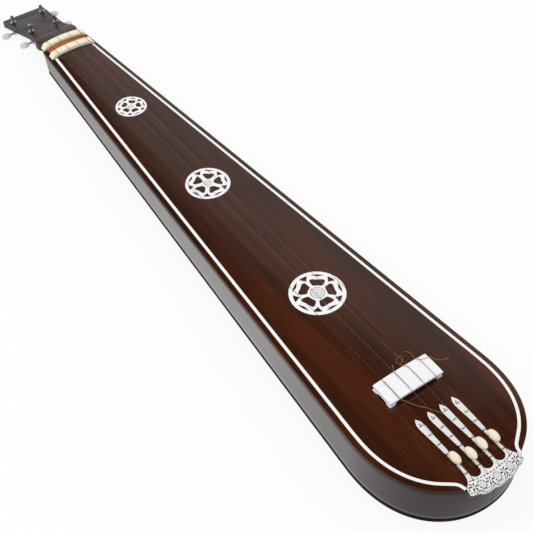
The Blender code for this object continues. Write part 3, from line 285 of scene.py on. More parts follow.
def roundEdges(obj, width, segments=2, angle=50, clamp=True):
    made = obj.modifiers.new("rounding", "BEVEL")
    made.width = width
    made.segments = segments
    made.limit_method = "ANGLE"
    made.angle_limit = math.radians(angle)
    made.use_clamp_overlap = clamp


def refine(obj, levels):
    made = obj.modifiers.new("fineness", "SUBSURF")
    made.levels = levels
    made.render_levels = levels


def bodyOf(node):
    for name, nodes in frame["record"]["behaviour"]["bodies"].items():
        if node in nodes:
            return name


def finishPiece(obj, material, nodes=(), body="instrument"):
    obj.data.materials.clear()
    obj.data.materials.append(material)
    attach(obj, body)
    if nodes:
        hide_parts(*nodes)


def gridPiece(name, columns, rows, place):
    # a flat grid whose corners are then moved to where place puts them, for shares across and along
    deselect()
    bpy.ops.mesh.primitive_grid_add(x_subdivisions=columns, y_subdivisions=rows, size=2)
    obj = bpy.context.object
    obj.name = name
    for vertex in obj.data.vertices:
        vertex.co = place((vertex.co.x + 1) / 2, (vertex.co.y + 1) / 2)
    mergeAll(obj)
    return obj


def inside(point, loop):
    hit = False
    for (ax, ay), (bx, by) in zip(loop, loop[1:] + loop[:1]):
        if (ay > point[1]) != (by > point[1]) and point[0] < (bx - ax) * (point[1] - ay) / (by - ay) + ax:
            hit = not hit
    return hit


def sheetPiece(name, outline, holes, extra, place, flat):
    # a sheet cut from a flat shape; place gives each point's place in space and flat its own coordinates for the pattern
    loops = [outline] + holes
    points = [Vector(p) for loop in loops for p in loop] + [Vector(p) for p in extra]
    edges = []
    start = 0
    for loop in loops:
        edges += [(start + i, start + (i + 1) % len(loop)) for i in range(len(loop))]
        start += len(loop)
    found = delaunay_2d_cdt(points, edges, [], 1, 1e-7)
    shape = bmesh.new()
    pattern = shape.loops.layers.uv.new("pattern")
    corners = [shape.verts.new(place(p.x, p.y)) for p in found[0]]
    for face in found[2]:
        middle = sum((found[0][i] for i in face), Vector((0, 0))) / len(face)
        if inside(middle, outline) and not any(inside(middle, hole) for hole in holes):
            made = shape.faces.new([corners[i] for i in face])
            for loop, i in zip(made.loops, face):
                loop[pattern].uv = flat(found[0][i].x, found[0][i].y)
    for corner in corners:
        if not corner.link_faces:
            shape.verts.remove(corner)
    mesh = bpy.data.meshes.new(name)
    shape.to_mesh(mesh)
    shape.free()
    obj = bpy.data.objects.new(name, mesh)
    bpy.context.scene.collection.objects.link(obj)
    return obj


def loftPiece(name, loops):
    shape = bmesh.new()
    rows = [[shape.verts.new(p) for p in loop] for loop in loops]
    count = len(rows[0])
    for low, high in zip(rows, rows[1:]):
        for i in range(count):
            j = (i + 1) % count
            shape.faces.new((low[i], low[j], high[j], high[i]))
    shape.faces.new(list(reversed(rows[0])))
    shape.faces.new(rows[-1])
    mesh = bpy.data.meshes.new(name)
    shape.to_mesh(mesh)
    shape.free()
    obj = bpy.data.objects.new(name, mesh)
    bpy.context.scene.collection.objects.link(obj)
    faceOutwards(obj)
    return obj


def dressed(node, material, bevel=0.0, segments=2, angle=35, smoothAngle=35, dissolve=2.0, subdivide=0):
    # a copy of a solid, with its loose triangles merged, its edges rounded and its faces smooth
    source = frame["nodes"][node]
    obj = bpy.data.objects.new(node + "Finished", source.data.copy())
    obj.matrix_world = Matrix.Identity(4)
    bpy.context.scene.collection.objects.link(obj)
    mergeAll(obj, 0.01 * mm)
    if dissolve:
        bpy.ops.object.mode_set(mode="EDIT")
        bpy.ops.mesh.select_all(action="SELECT")
        bpy.ops.mesh.dissolve_limited(angle_limit=math.radians(dissolve))
        bpy.ops.object.mode_set(mode="OBJECT")
    if bevel:
        roundEdges(obj, bevel, segments, angle)
    if subdivide:
        refine(obj, subdivide)
    applyAll(obj)
    smooth(obj, smoothAngle)
    finishPiece(obj, material, [node], bodyOf(node))
    return obj


# French polish: shellac rubbed on in many thin coats, so the wood looks wet, with sharp reflections
# grain is drawn a little coarser than the 0.2 mm pores of the real wood, so that it shows
woodSettings = {
    "rosewood": {"grainWidth": 2.2 * mm, "grainLength": 150 * mm, "bandWidth": 26 * mm, "darker": -0.1, "paler": -0.03,
                 "colours": ("#2f1304", "#3d1906", "#481e08", "#55260b")},
    "side": {"grainWidth": 2.0 * mm, "grainLength": 130 * mm, "bandWidth": 22 * mm,
             "colours": ("#1c1210", "#241815", "#2d1e1a", "#38261f")},
    "back": {"grainWidth": 2.0 * mm, "grainLength": 130 * mm, "bandWidth": 22 * mm, "sheen": 0.1,
             "colours": ("#1c1210", "#241815", "#2d1e1a", "#38261f")},
    "head": {"grainWidth": 1.6 * mm, "grainLength": 90 * mm, "bandWidth": 14 * mm,
             "colours": ("#221c1b", "#2a2322", "#322a28", "#3b3230")},
    "collar": {"grainWidth": 1.6 * mm, "grainLength": 60 * mm, "bandWidth": 14 * mm,
               "colours": ("#1d0f0b", "#29150f", "#341c14", "#42251a")},
    "strip": {"grainWidth": 1.2 * mm, "grainLength": 22 * mm, "bandWidth": 6 * mm,
              "colours": ("#7d3a16", "#98501f", "#ad6029", "#bd7038")},
    "inner": {"grainWidth": 2.0 * mm, "grainLength": 160 * mm, "bandWidth": 12 * mm,
              "colours": ("#a98658", "#b99466", "#c6a274", "#d2b085")},
}


def polishedWood(name, look, roughness, coat=0.0, along="Y", bump=0.03):
    made, tree, shader = newMaterial(name)
    fine, long, band = 1 / look["grainWidth"], 1 / look["grainLength"], 1 / look["bandWidth"]
    if along == "Y":
        streakScale, bandScale = (fine, long, fine), (band, long / 2, band)
    else:
        streakScale, bandScale = (long, fine, fine), (long / 2, band, band)
    streaks = addNode(tree, "ShaderNodeTexNoise", {"Scale": 1.0, "Detail": 6, "Roughness": 0.62},
                      {"Vector": objectPlace(tree, streakScale)})
    bands = addNode(tree, "ShaderNodeTexNoise", {"Scale": 1.0, "Detail": 3, "Distortion": 0.6},
                    {"Vector": objectPlace(tree, bandScale)})
    half = addNode(tree, "ShaderNodeMath", {"operation": "MULTIPLY", 1: 0.5}, {0: streaks.outputs["Fac"]})
    both = addNode(tree, "ShaderNodeMath", {"operation": "MULTIPLY_ADD", 1: 0.5},
                   {0: bands.outputs["Fac"], 2: half.outputs[0]})
    # the colour is a little darker towards the head
    split = addNode(tree, "ShaderNodeSeparateXYZ", links={0: objectPlace(tree)})
    shade = addNode(tree, "ShaderNodeMapRange", {
        "From Min": -0.45, "From Max": 0.3, "To Min": look.get("paler", 0), "To Max": look.get("darker", 0)},
        {"Value": split.outputs["Y"]})
    both = addNode(tree, "ShaderNodeMath", {"operation": "ADD"}, {0: both.outputs[0], 1: shade.outputs[0]})
    colours = look["colours"]
    colour = ramp(tree, both.outputs[0], ((0.36, colours[0]), (0.46, colours[1]), (0.54, colours[2]), (0.66, colours[3])))
    tree.links.new(colour, shader.inputs["Base Color"])
    value = addNode(tree, "ShaderNodeMapRange", {"To Min": roughness * 0.85, "To Max": roughness * 1.2},
                    {"Value": bands.outputs["Fac"]})
    tree.links.new(value.outputs[0], shader.inputs["Roughness"])
    shader.inputs["Specular IOR Level"].default_value = look.get("sheen", 0.5)
    if coat:
        shader.inputs["Coat Weight"].default_value = coat
        shader.inputs["Coat Roughness"].default_value = 0.08
    addBump(tree, shader, streaks.outputs["Fac"], bump, 0.05 * mm)
    return made


def mouldedPlastic(name, colour, second, amount, roughness, coat=0.0, spot=5 * mm):
    # celluloid, resin or acrylic: an even colour with faint clouds in it and a surface that isn't quite flat
    made, tree, shader = newMaterial(name)
    cloud = addNode(tree, "ShaderNodeTexNoise", {"Scale": 1 / spot, "Detail": 3}, {"Vector": objectPlace(tree)})
    share = addNode(tree, "ShaderNodeMapRange", {"From Min": 0.35, "From Max": 0.7, "To Max": amount},
                    {"Value": cloud.outputs["Fac"]})
    stained = ramp(tree, share.outputs[0], ((0.0, colour), (1.0, second)))
    tree.links.new(stained, shader.inputs["Base Color"])
    shader.inputs["Roughness"].default_value = roughness
    shader.inputs["Coat Weight"].default_value = coat
    addBump(tree, shader, cloud.outputs["Fac"], 0.05, 0.05 * mm)
    return made


def bareMetal(name, colour, roughness, grit=0.5 * mm):
    # plated or drawn metal: clear reflections, a little duller where it has been handled
    made, tree, shader = newMaterial(name)
    shader.inputs["Base Color"].default_value = linear(colour)
    shader.inputs["Metallic"].default_value = 1
    speck = addNode(tree, "ShaderNodeTexNoise", {"Scale": 1 / grit, "Detail": 2}, {"Vector": objectPlace(tree)})
    value = addNode(tree, "ShaderNodeMapRange", {"To Min": roughness * 0.75, "To Max": roughness * 1.3},
                    {"Value": speck.outputs["Fac"]})
    tree.links.new(value.outputs[0], shader.inputs["Roughness"])
    return made


def calculate(tree, values, steps):
    # a list of sums for a pattern: each has its result's name, an operation, and the names and numbers it takes
    for name, operation, *taken in steps:
        numbers = {i: value for i, value in enumerate(taken) if not isinstance(value, str)}
        sources = {i: values[value] for i, value in enumerate(taken) if isinstance(value, str)}
        values[name] = addNode(tree, "ShaderNodeMath", {"operation": operation, **numbers}, sources).outputs[0]


def engravedHub(name, settings):
    # white celluloid, with punched rings of dots and fine turned lines in the hub, darkened with ink
    made, tree, shader = newMaterial(name)
    where = addNode(tree, "ShaderNodeUVMap", {"uv_map": "pattern"})
    split = addNode(tree, "ShaderNodeSeparateXYZ", links={0: where.outputs["UV"]})
    values = {"x": split.outputs["X"], "y": split.outputs["Y"]}  # shares of the hub's radius
    calculate(tree, values, (
        ("xx", "MULTIPLY", "x", "x"), ("both", "MULTIPLY_ADD", "y", "y", "xx"), ("away", "SQRT", "both"),
        ("angle", "ARCTAN2", "y", "x"), ("steps", "MULTIPLY", "angle", settings["dots"] / 2 / math.pi),
        ("step", "PINGPONG", "steps", 0.5), ("across", "GREATER_THAN", "step", 0.2),
        ("ring", "COMPARE", "away", settings["dotRing"], settings["dotSize"]), ("dots", "MULTIPLY", "across", "ring"),
        ("innerRing", "COMPARE", "away", settings["innerRing"], settings["dotSize"] * 0.7),
        ("innerDots", "MULTIPLY", "across", "innerRing"), ("innerInk", "MULTIPLY", "innerDots", 0.5),
        ("wave", "PINGPONG", "away", settings["lineStep"]), ("lines", "MULTIPLY", "wave", 0.4 / settings["lineStep"]),
        ("within", "LESS_THAN", "away", settings["dotRing"] - 0.08), ("fine", "MULTIPLY", "lines", "within"),
        ("middle", "LESS_THAN", "away", 0.1), ("eye", "MULTIPLY", "middle", 0.8),
        ("ink", "MAXIMUM", "dots", "innerInk"), ("lined", "MAXIMUM", "ink", "fine"), ("dark", "MAXIMUM", "lined", "eye"),
        ("hollow", "MULTIPLY", "dark", -1.0)))
    colour = ramp(tree, values["dark"], ((0.0, settings["white"]), (1.0, settings["ink"])))
    tree.links.new(colour, shader.inputs["Base Color"])
    shader.inputs["Roughness"].default_value = 0.35
    addBump(tree, shader, values["hollow"], 0.4, 0.1 * mm)
    return made


def engravedSilver(name, settings):
    # rolled white metal, hand engraved and blackened: flowers and dashes at the tail's edge, sprigs along the fingers
    made, tree, shader = newMaterial(name)
    where = addNode(tree, "ShaderNodeUVMap", {"uv_map": "pattern"})
    split = addNode(tree, "ShaderNodeSeparateXYZ", links={0: where.outputs["UV"]})
    spot = addNode(tree, "ShaderNodeSeparateXYZ", links={0: objectPlace(tree, (1000, 1000, 1000))})
    step, lobe, string, sprig = (settings[k] for k in ("flowerStep", "lobe", "string", "sprigStep"))
    # millimetres: x across, p past the tail's edge, y along the instrument
    values = {"x": split.outputs["X"], "p": split.outputs["Y"], "y": spot.outputs["Y"]}
    calculate(tree, values, (
        # flowers of six dark petals
        ("moved", "ADD", "x", settings["flowerShift"] + 10.5 * step), ("wrapped", "WRAP", "moved", step, 0.0),
        ("u", "SUBTRACT", "wrapped", step / 2), ("v", "SUBTRACT", "p", settings["flowerPast"]),
        ("uu", "MULTIPLY", "u", "u"), ("square", "MULTIPLY_ADD", "v", "v", "uu"), ("r", "SQRT", "square"),
        ("turn", "ARCTAN2", "v", "u"), ("sixths", "MULTIPLY", "turn", 3 / math.pi), ("off", "PINGPONG", "sixths", 0.5),
        ("sideways", "MULTIPLY", "off", "r"), ("out", "SUBTRACT", "r", 3.2), ("scaled", "DIVIDE", "out", 2.0),
        ("bulge", "MULTIPLY", "scaled", "scaled"), ("wide", "MULTIPLY_ADD", "bulge", -0.78, 0.78),
        ("petals", "LESS_THAN", "sideways", "wide"), ("pip", "LESS_THAN", "r", 0.5), ("flower", "MAXIMUM", "petals", "pip"),
        # rings of dashes round the plain flowers between them
        ("away", "ABSOLUTE", "u"), ("q", "SUBTRACT", step / 2, "away"), ("qq", "MULTIPLY", "q", "q"),
        ("square2", "MULTIPLY_ADD", "v", "v", "qq"), ("r2", "SQRT", "square2"), ("turn2", "ARCTAN2", "v", "q"),
        ("tenths", "MULTIPLY", "turn2", 5 / math.pi), ("off2", "PINGPONG", "tenths", 0.5),
        ("gap2", "LESS_THAN", "off2", 0.33), ("ring2", "COMPARE", "r2", 4.5, 0.55), ("dashes2", "MULTIPLY", "gap2", "ring2"),
        ("disc", "COMPARE", "r2", 1.7, 0.22), ("disc2", "MULTIPLY", "disc", 0.6),
        ("petal2", "COMPARE", "off2", 0.0, 0.1), ("near2", "COMPARE", "r2", 2.9, 0.8), ("veins2", "MULTIPLY", "petal2", "near2"),
        ("soft2", "MULTIPLY", "veins2", 0.6), ("plain", "MAXIMUM", "dashes2", "disc2"), ("plain2", "MAXIMUM", "plain", "soft2"),
        # rows of dashes above and below
        ("c1", "PINGPONG", "x", 2.1), ("d1", "LESS_THAN", "c1", 1.35), ("row1", "COMPARE", "p", -7.1, 0.55),
        ("top", "MULTIPLY", "d1", "row1"), ("c3", "PINGPONG", "x", 1.4), ("d3", "LESS_THAN", "c3", 0.85),
        ("row3", "COMPARE", "p", 5.4, 0.4), ("low", "MULTIPLY", "d3", "row3"),
        # dashes along the scallops
        ("phase", "MULTIPLY_ADD", "x", math.pi / lobe, math.pi / 2), ("wave", "SINE", "phase"), ("hump", "ABSOLUTE", "wave"),
        ("lip", "MULTIPLY_ADD", "hump", settings["lobeDepth"], settings["notch"]), ("in", "SUBTRACT", "lip", "p"),
        ("c4", "PINGPONG", "x", 1.1), ("d4", "LESS_THAN", "c4", 0.7), ("row4", "COMPARE", "in", 3.3, 0.6),
        ("scallop", "MULTIPLY", "d4", "row4"), ("thin", "COMPARE", "in", 1.9, 0.14), ("thin2", "MULTIPLY", "thin", 0.5),
        ("a1", "MAXIMUM", "flower", "plain2"), ("a2", "MAXIMUM", "top", "low"), ("a3", "MAXIMUM", "scallop", "thin2"),
        ("a4", "MAXIMUM", "a1", "a2"), ("a5", "MAXIMUM", "a4", "a3"), ("onPlate", "GREATER_THAN", "p", -8.2),
        ("plate", "MULTIPLY", "a5", "onPlate"),
        # fingers: sprigs of three strokes on a bar, with dotted lines between them
        ("w", "WRAP", "x", string, 0.0), ("lane", "SUBTRACT", "w", string / 2), ("side", "ABSOLUTE", "lane"),
        ("d", "SUBTRACT", settings["tip"], "y"), ("shifted", "SUBTRACT", "d", settings["sprigFirst"] - sprig / 2),
        ("cycle", "WRAP", "shifted", sprig, 0.0), ("dd", "SUBTRACT", "cycle", sprig / 2),
        ("s", "PINGPONG", "lane", 1.0), ("thin3", "LESS_THAN", "s", 0.36), ("reach", "COMPARE", "dd", 0.0, 1.3),
        ("strokes", "MULTIPLY", "thin3", "reach"), ("bar", "COMPARE", "dd", 0.3, 0.36), ("marks", "MAXIMUM", "strokes", "bar"),
        ("narrow", "LESS_THAN", "side", 2.4), ("sprigs", "MULTIPLY", "marks", "narrow"),
        ("tipOff", "SUBTRACT", "d", settings["sprigFirst"] - 2.7), ("tt", "MULTIPLY", "tipOff", "tipOff"),
        ("tip2", "MULTIPLY_ADD", "lane", "lane", "tt"), ("bud", "LESS_THAN", "tip2", 0.8), ("m1", "MAXIMUM", "sprigs", "bud"),
        ("vein", "COMPARE", "side", 1.2, 0.22), ("dot", "PINGPONG", "d", 0.8), ("dotted", "LESS_THAN", "dot", 0.5),
        ("veins", "MULTIPLY", "vein", "dotted"), ("faint", "MULTIPLY", "veins", 0.3), ("m2", "MAXIMUM", "m1", "faint"),
        ("past2", "GREATER_THAN", "d", 4.0), ("m3", "MULTIPLY", "m2", "past2"), ("onFinger", "LESS_THAN", "p", -12.0),
        ("finger", "MULTIPLY", "m3", "onFinger"), ("ink", "MAXIMUM", "plate", "finger"), ("hollow", "MULTIPLY", "ink", -1.0)))
    colour = ramp(tree, values["ink"], ((0.0, settings["metal"]), (1.0, settings["inkColour"])))
    tree.links.new(colour, shader.inputs["Base Color"])
    shader.inputs["Metallic"].default_value = settings["metallic"]
    shader.inputs["Roughness"].default_value = settings["roughness"]
    addBump(tree, shader, values["hollow"], 0.4, 0.1 * mm)
    return made


hubSettings = {"dots": 30, "dotRing": 0.79, "dotSize": 0.06, "innerRing": 0.45, "lineStep": 0.06, "white": "#f7f7f6",
               "ink": "#45403d"}
silverSettings = {
    "metal": "#f4f4f2", "inkColour": "#26282b", "metallic": 0.12, "roughness": 0.38,
    "flowerStep": 19.6, "flowerShift": 11.3, "flowerPast": 0.1, "lobe": 18.4, "lobeDepth": 4.5, "notch": 8.0,
    "string": 17.6, "tip": -374.5, "sprigStep": 14.6, "sprigFirst": 10.5,
}
rosewood = polishedWood("frenchPolishedRosewood", woodSettings["rosewood"], 0.12)
darkSide = polishedWood("lacqueredSideWood", woodSettings["side"], 0.2, coat=1.0)
darkBack = polishedWood("stainedBackWood", woodSettings["back"], 0.6)
darkHead = polishedWood("satinPolishedHeadWood", woodSettings["head"], 0.38)
collarWood = polishedWood("polishedCollarWood", woodSettings["collar"], 0.3)
stripWood = polishedWood("oiledOrangeWood", woodSettings["strip"], 0.5, along="X", bump=0.2)
bareWood = polishedWood("bareSpruce", woodSettings["inner"], 0.7, bump=0.2)
whiteInlay = mouldedPlastic("whiteCelluloid", "#f5f5f4", "#eceae6", 0.5, 0.32, spot=12 * mm)
rosetteWhite = engravedHub("engravedWhiteCelluloid", hubSettings)
ivory = mouldedPlastic("ivoryColouredBoneSubstitute", "#f7f0da", "#ecdfbc", 0.7, 0.4, 0.2, spot=4 * mm)
beadIvory = mouldedPlastic("turnedIvoryColouredResin", "#f6ecd6", "#ecdcb8", 0.7, 0.3, 0.3, spot=4 * mm)
bridgeWhite = mouldedPlastic("whiteAcrylic", "#f6f6f8", "#eeeef2", 0.6, 0.35, spot=9 * mm)
silver = engravedSilver("engravedWhiteMetal", silverSettings)
chrome = bareMetal("chromePlate", "#d9d9db", 0.14)
pearl = mouldedPlastic("pearlCelluloid", "#e6e6e8", "#aeb2b8", 0.9, 0.2, 0.7, spot=2.5 * mm)
steel = bareMetal("plainSteelWire", "#a39b94", 0.34)
bronze = bareMetal("bronzeWoundWire", "#a06a43", 0.38)
cotton = mouldedPlastic("waxedCottonThread", "#c09a45", "#8a6a25", 0.9, 0.8, spot=0.8 * mm)
print("materials made")


# the threads under the strings, point for point as the solids have them
bridgeSettings = {
    "fromTail": 148.2 * mm, "length": 77.4 * mm, "width": 31.6 * mm, "rise": 11.4 * mm, "arch": 1.9 * mm,
    "curve": 0.7 * mm, "plate": 4.2 * mm, "foot": 8.5 * mm, "toeArch": 3.6 * mm, "toe": 7 * mm, "gap": 0.3 * mm,
}
bridgeY = tailY + bridgeSettings["fromTail"]
threadSettings = {
    "radius": 0.25 * mm, "spacing": 1.5 * mm, "edge": {1: -1, 2: 1, 3: 1, 4: 1},
    "routes": {
        1: ((0, -0.88, 1), (0, -0.45, 1), (0, -0.05, 1), (0.06, 0.03, 0.98), (0.5, 0.19, 0.55), (1, 0.45, 0.22),
            (1.67, 0.73, 0.04), (2.12, 1, 0), (2.41, 1.2, 0)),
        2: ((0, -0.88, 1), (0, -0.45, 1), (0.02, -0.05, 1), (0.11, 0.03, 0.98), (0.42, 0.19, 0.75), (0.7, 0.36, 0.42),
            (0.72, 0.4, 0.04)),
        3: ((0, -0.88, 1), (0, -0.45, 1), (-0.05, -0.13, 1), (-0.21, -0.04, 1), (-0.32, 0.03, 0.98), (-0.28, 0.2, 0.7),
            (-0.24, 0.36, 0.4), (0.17, 0.54, 0.13), (0.76, 0.58, 0.02), (0.46, 0.33, 0.24), (-0.05, 0.21, 0.58)),
        4: ((0.01, 0.66, 0), (0.24, 0.5, 0.12), (0.04, 0.28, 0.48), (-0.24, 0.03, 0.98), (-0.24, -0.05, 1),
            (-0.08, -0.11, 1), (0.4, -0.18, 1), (0.95, -0.21, 1), (1.07, -0.22, 0.98), (1.25, -0.3, 0.75),
            (1.86, -0.4, 0.22), (2.48, -0.48, 0.01), (3, -0.47, 0)),
    },
}


def bridgeTop(x, y):
    across = 2 * x / bridgeSettings["length"]
    along = 2 * (y - bridgeY) / bridgeSettings["width"]
    return (boardZ(0, bridgeY) + bridgeSettings["rise"] - bridgeSettings["arch"] * across**2
            - bridgeSettings["curve"] * along**2)


def makeThread(number, settings):
    side = settings["edge"][number]
    half = bridgeSettings["length"] / 2
    route = []
    for across, past, height in settings["routes"][number]:
        x = stringX[number - 1] + across * (half - stringX[3])
        y = bridgeY + side * bridgeSettings["width"] * (0.5 + past)
        top = bridgeTop(min(x, half), bridgeY + side * bridgeSettings["width"] * min(0.5, 0.5 + past))
        route.append(Vector((x, y, mix(boardZ(x, y), top, height) + settings["radius"] + bridgeSettings["gap"])))
    points = smoothRoute(route, settings["spacing"])
    curve = bpy.data.curves.new(f"cottonThread{number}", "CURVE")
    curve.dimensions = "3D"
    curve.bevel_depth = settings["radius"]
    curve.bevel_resolution = 3
    curve.use_fill_caps = True
    spline = curve.splines.new("POLY")
    spline.points.add(len(points) - 1)
    for spot, place in zip(spline.points, points):
        spot.co = (*place, 1)
    obj = bpy.data.objects.new(f"cottonThread{number}", curve)
    bpy.context.scene.collection.objects.link(obj)
    finishPiece(obj, cotton, [f"thread_{number}"])


for number in (1, 2, 3, 4):
    makeThread(number, threadSettings)


boardSettings = {"columns": 40, "rows": 240, "tailShare": 0.36, "edgeRound": 0.8 * mm}


def makeBoard(settings):
    share = settings["tailShare"]

    def place(u, v):
        if v < share:
            spot = tailCurve(1 - v / share)
            half, y = spot.x, spot.y
        else:
            y = mix(shoulderY, boardEndY, (v - share) / (1 - share))
            half = halfWidth(y)
        x = (2 * u - 1) * half
        return (x, y, boardZ(x, y))

    obj = gridPiece("polishedBoard", settings["columns"], settings["rows"], place)
    thicken(obj, bodySettings["boardThick"])
    roundEdges(obj, settings["edgeRound"], 3, 60, False)
    applyAll(obj)
    smooth(obj, 50)
    finishPiece(obj, rosewood, ["soundboard"])


makeBoard(boardSettings)

sideSettings = {"thick": 4 * mm, "rows": 8, "stub": 11 * mm, "stubDepth": 5 * mm, "gap": 0.15 * mm}


def makeSide(word, sign, settings):
    path = [Vector((halfWidth(y), y)) for y in (mix(heelY + settings["stub"], heelY, i / 14) for i in range(14))]
    path += outlinePath(heelY, 0, 60, 64)

    def place(u, v):
        spot = path[round(u * (len(path) - 1))]
        low = bodySettings["backThick"] + 0.3 * mm
        if spot.y > heelY:
            tip = rimZ(spot.y) - settings["stubDepth"]
            low = tip - (tip - low) * (1 - (spot.y - heelY) / settings["stub"]) ** 3
        high = boardZ(spot.x, spot.y) - bodySettings["boardThick"]
        return (sign * max(spot.x, settings["gap"]), spot.y, mix(low, high, v))

    obj = gridPiece(word + "Wall", len(path) - 1, settings["rows"], place)
    pick(obj)
    if obj.data.polygons[len(obj.data.polygons) // 2].normal.x * sign < 0:
        bpy.ops.object.mode_set(mode="EDIT")
        bpy.ops.mesh.select_all(action="SELECT")
        bpy.ops.mesh.flip_normals()
        bpy.ops.object.mode_set(mode="OBJECT")
    thicken(obj, settings["thick"])
    roundEdges(obj, 0.5 * mm, 2, 60, False)
    applyAll(obj)
    smooth(obj, 50)
    finishPiece(obj, darkSide, ["side_" + word])


makeSide("left", -1, sideSettings)
makeSide("right", 1, sideSettings)

backSettings = {"bevel": 2.2 * mm}


def makeBack(settings):
    half = outlinePath(heelY, 0, 24, 64)
    outline = [tuple(p) for p in half] + [(-p.x, p.y) for p in reversed(half[:-1])]
    obj = sheetPiece("backBoard", outline, [], [], lambda x, y: (x, y, bodySettings["backThick"]), lambda x, y: (x, y))
    faceOutwards(obj)
    if obj.data.polygons[0].normal.z < 0:
        bpy.ops.object.mode_set(mode="EDIT")
        bpy.ops.mesh.flip_normals()
        bpy.ops.object.mode_set(mode="OBJECT")
    thicken(obj, bodySettings["backThick"])
    roundEdges(obj, settings["bevel"], 3, 60, False)
    applyAll(obj)
    smooth(obj, 40)
    finishPiece(obj, darkBack, ["back_plate"])


makeBack(backSettings)
print("box made")

lineSettings = {"start": 456.2 * mm, "width": 3.8 * mm, "inset": 8.7 * mm, "thick": 0.8 * mm, "proud": 0.25 * mm,
                "endAcross": 39 * mm, "endFromTail": 7.5 * mm, "curlAlong": 6.5 * mm, "curlAcross": 1.8 * mm}


def makeEdgeLine(word, sign, settings):
    path = [p for p in outlinePath(settings["start"], settings["inset"], 20, 16)
            if p.y > shoulderY or p.x > settings["endAcross"] + settings["curlAlong"]]
    endY = tailY + settings["endFromTail"]
    path.append(Vector((settings["endAcross"] + settings["curlAcross"], endY + settings["curlAlong"])))
    path.append(Vector((settings["endAcross"], endY)))
    path = smoothRoute(path, 4 * mm)

    def place(u, v):
        i = round(v * (len(path) - 1))
        along = Vector((0, -1)) if i == 0 else heading(path, i)
        spot = path[i] + Vector((-along.y, along.x)).normalized() * settings["width"] * (u - 0.5)
        return (sign * spot.x, spot.y, boardZ(spot.x, spot.y) + settings["proud"] * (1 - (2 * u - 1) ** 4))

    obj = gridPiece(word + "EdgeLine", 8, len(path) - 1, place)
    if obj.data.polygons[len(obj.data.polygons) // 2].normal.z < 0:
        bpy.ops.object.mode_set(mode="EDIT")
        bpy.ops.mesh.select_all(action="SELECT")
        bpy.ops.mesh.flip_normals()
        bpy.ops.object.mode_set(mode="OBJECT")
    thicken(obj, settings["thick"])
    applyAll(obj)
    smooth(obj, 40)
    finishPiece(obj, whiteInlay, ["edge_line_" + word])


makeEdgeLine("left", -1, lineSettings)
makeEdgeLine("right", 1, lineSettings)

rosetteSettings = {
    # radius, place along the body in shares of its length, and the hub's radius in shares of the rosette's
    "places": {"upper": (22.6 * mm, 0.297, 0.22), "middle": (30.4 * mm, 0.0856, 0.22), "lower": (35.3 * mm, -0.1689, 0.31)},
    "turn": 36, "thick": 0.5 * mm, "height": 0.4 * mm, "round": 0.15 * mm,
    # half of each opening, from its inner end: shares of the radius, and degrees from the middle of a petal
    "windows": {
        "upper": ((0.31, 0), (0.315, 17), (0.36, 24.5), (0.46, 25.5), (0.56, 24), (0.625, 18.5), (0.62, 9), (0.6, 0)),
        "middle": ((0.27, 0), (0.28, 13), (0.33, 19.5), (0.42, 23.5), (0.54, 25.5), (0.62, 25), (0.655, 20.5), (0.645, 12),
                   (0.615, 0)),
        "lower": ((0.335, 0), (0.345, 18), (0.375, 26.5), (0.48, 28), (0.6, 27), (0.66, 22.5), (0.655, 14), (0.625, 0)),
    },
    "crescent": ((0.77, 0), (0.795, 7), (0.835, 13), (0.86, 17), (0.864, 9), (0.865, 0)),
    "corner": ((0.64, 0), (0.7, 3.6), (0.76, 7), (0.83, 10), (0.862, 9.5), (0.866, 0)),
}


def makeRosette(name, settings):
    radius, share, hub = settings["places"][name]
    middle = share * bodySettings["length"]

    def spot(part, degrees):
        angle = math.radians(degrees)
        return Vector((radius * part * math.sin(angle), middle + radius * part * math.cos(angle)))

    def opening(half, degrees):
        sides = list(half) + [(part, -angle) for part, angle in reversed(half[1:-1])]
        return [tuple(p) for p in smoothLoop([spot(part, degrees + angle) for part, angle in sides], 5)]

    outline = [tuple(spot(1, 360 * i / 96)) for i in range(96)]
    holes = []
    for i in range(5):
        petal = 72 * i + settings["turn"]
        holes.append(opening(settings["windows"][name], petal))
        holes.append(opening(settings["crescent"], petal))
        holes.append(opening(settings["corner"], petal + 36))
    extra = [tuple(spot(part, degrees)) for part in (0.1, 0.2) for degrees in range(0, 360, 30)]
    obj = sheetPiece(name + "Rosette", outline, holes, extra, lambda x, y: (x, y, boardZ(x, y) + settings["height"]),
                     lambda x, y: (x / radius / hub, (y - middle) / radius / hub))
    faceUp(obj)
    thicken(obj, settings["thick"])
    roundEdges(obj, settings["round"], 2, 60, False)
    applyAll(obj)
    smooth(obj, 40)
    finishPiece(obj, rosetteWhite, ["rosette_" + name])


def faceUp(obj):
    pick(obj)
    bpy.ops.object.mode_set(mode="EDIT")
    bpy.ops.mesh.select_all(action="SELECT")
    bpy.ops.mesh.normals_make_consistent(inside=False)
    bpy.ops.object.mode_set(mode="OBJECT")
    if obj.data.polygons[0].normal.z < 0:
        bpy.ops.object.mode_set(mode="EDIT")
        bpy.ops.mesh.flip_normals()
        bpy.ops.object.mode_set(mode="OBJECT")


for name in rosetteSettings["places"]:
    makeRosette(name, rosetteSettings)
print("inlay made")

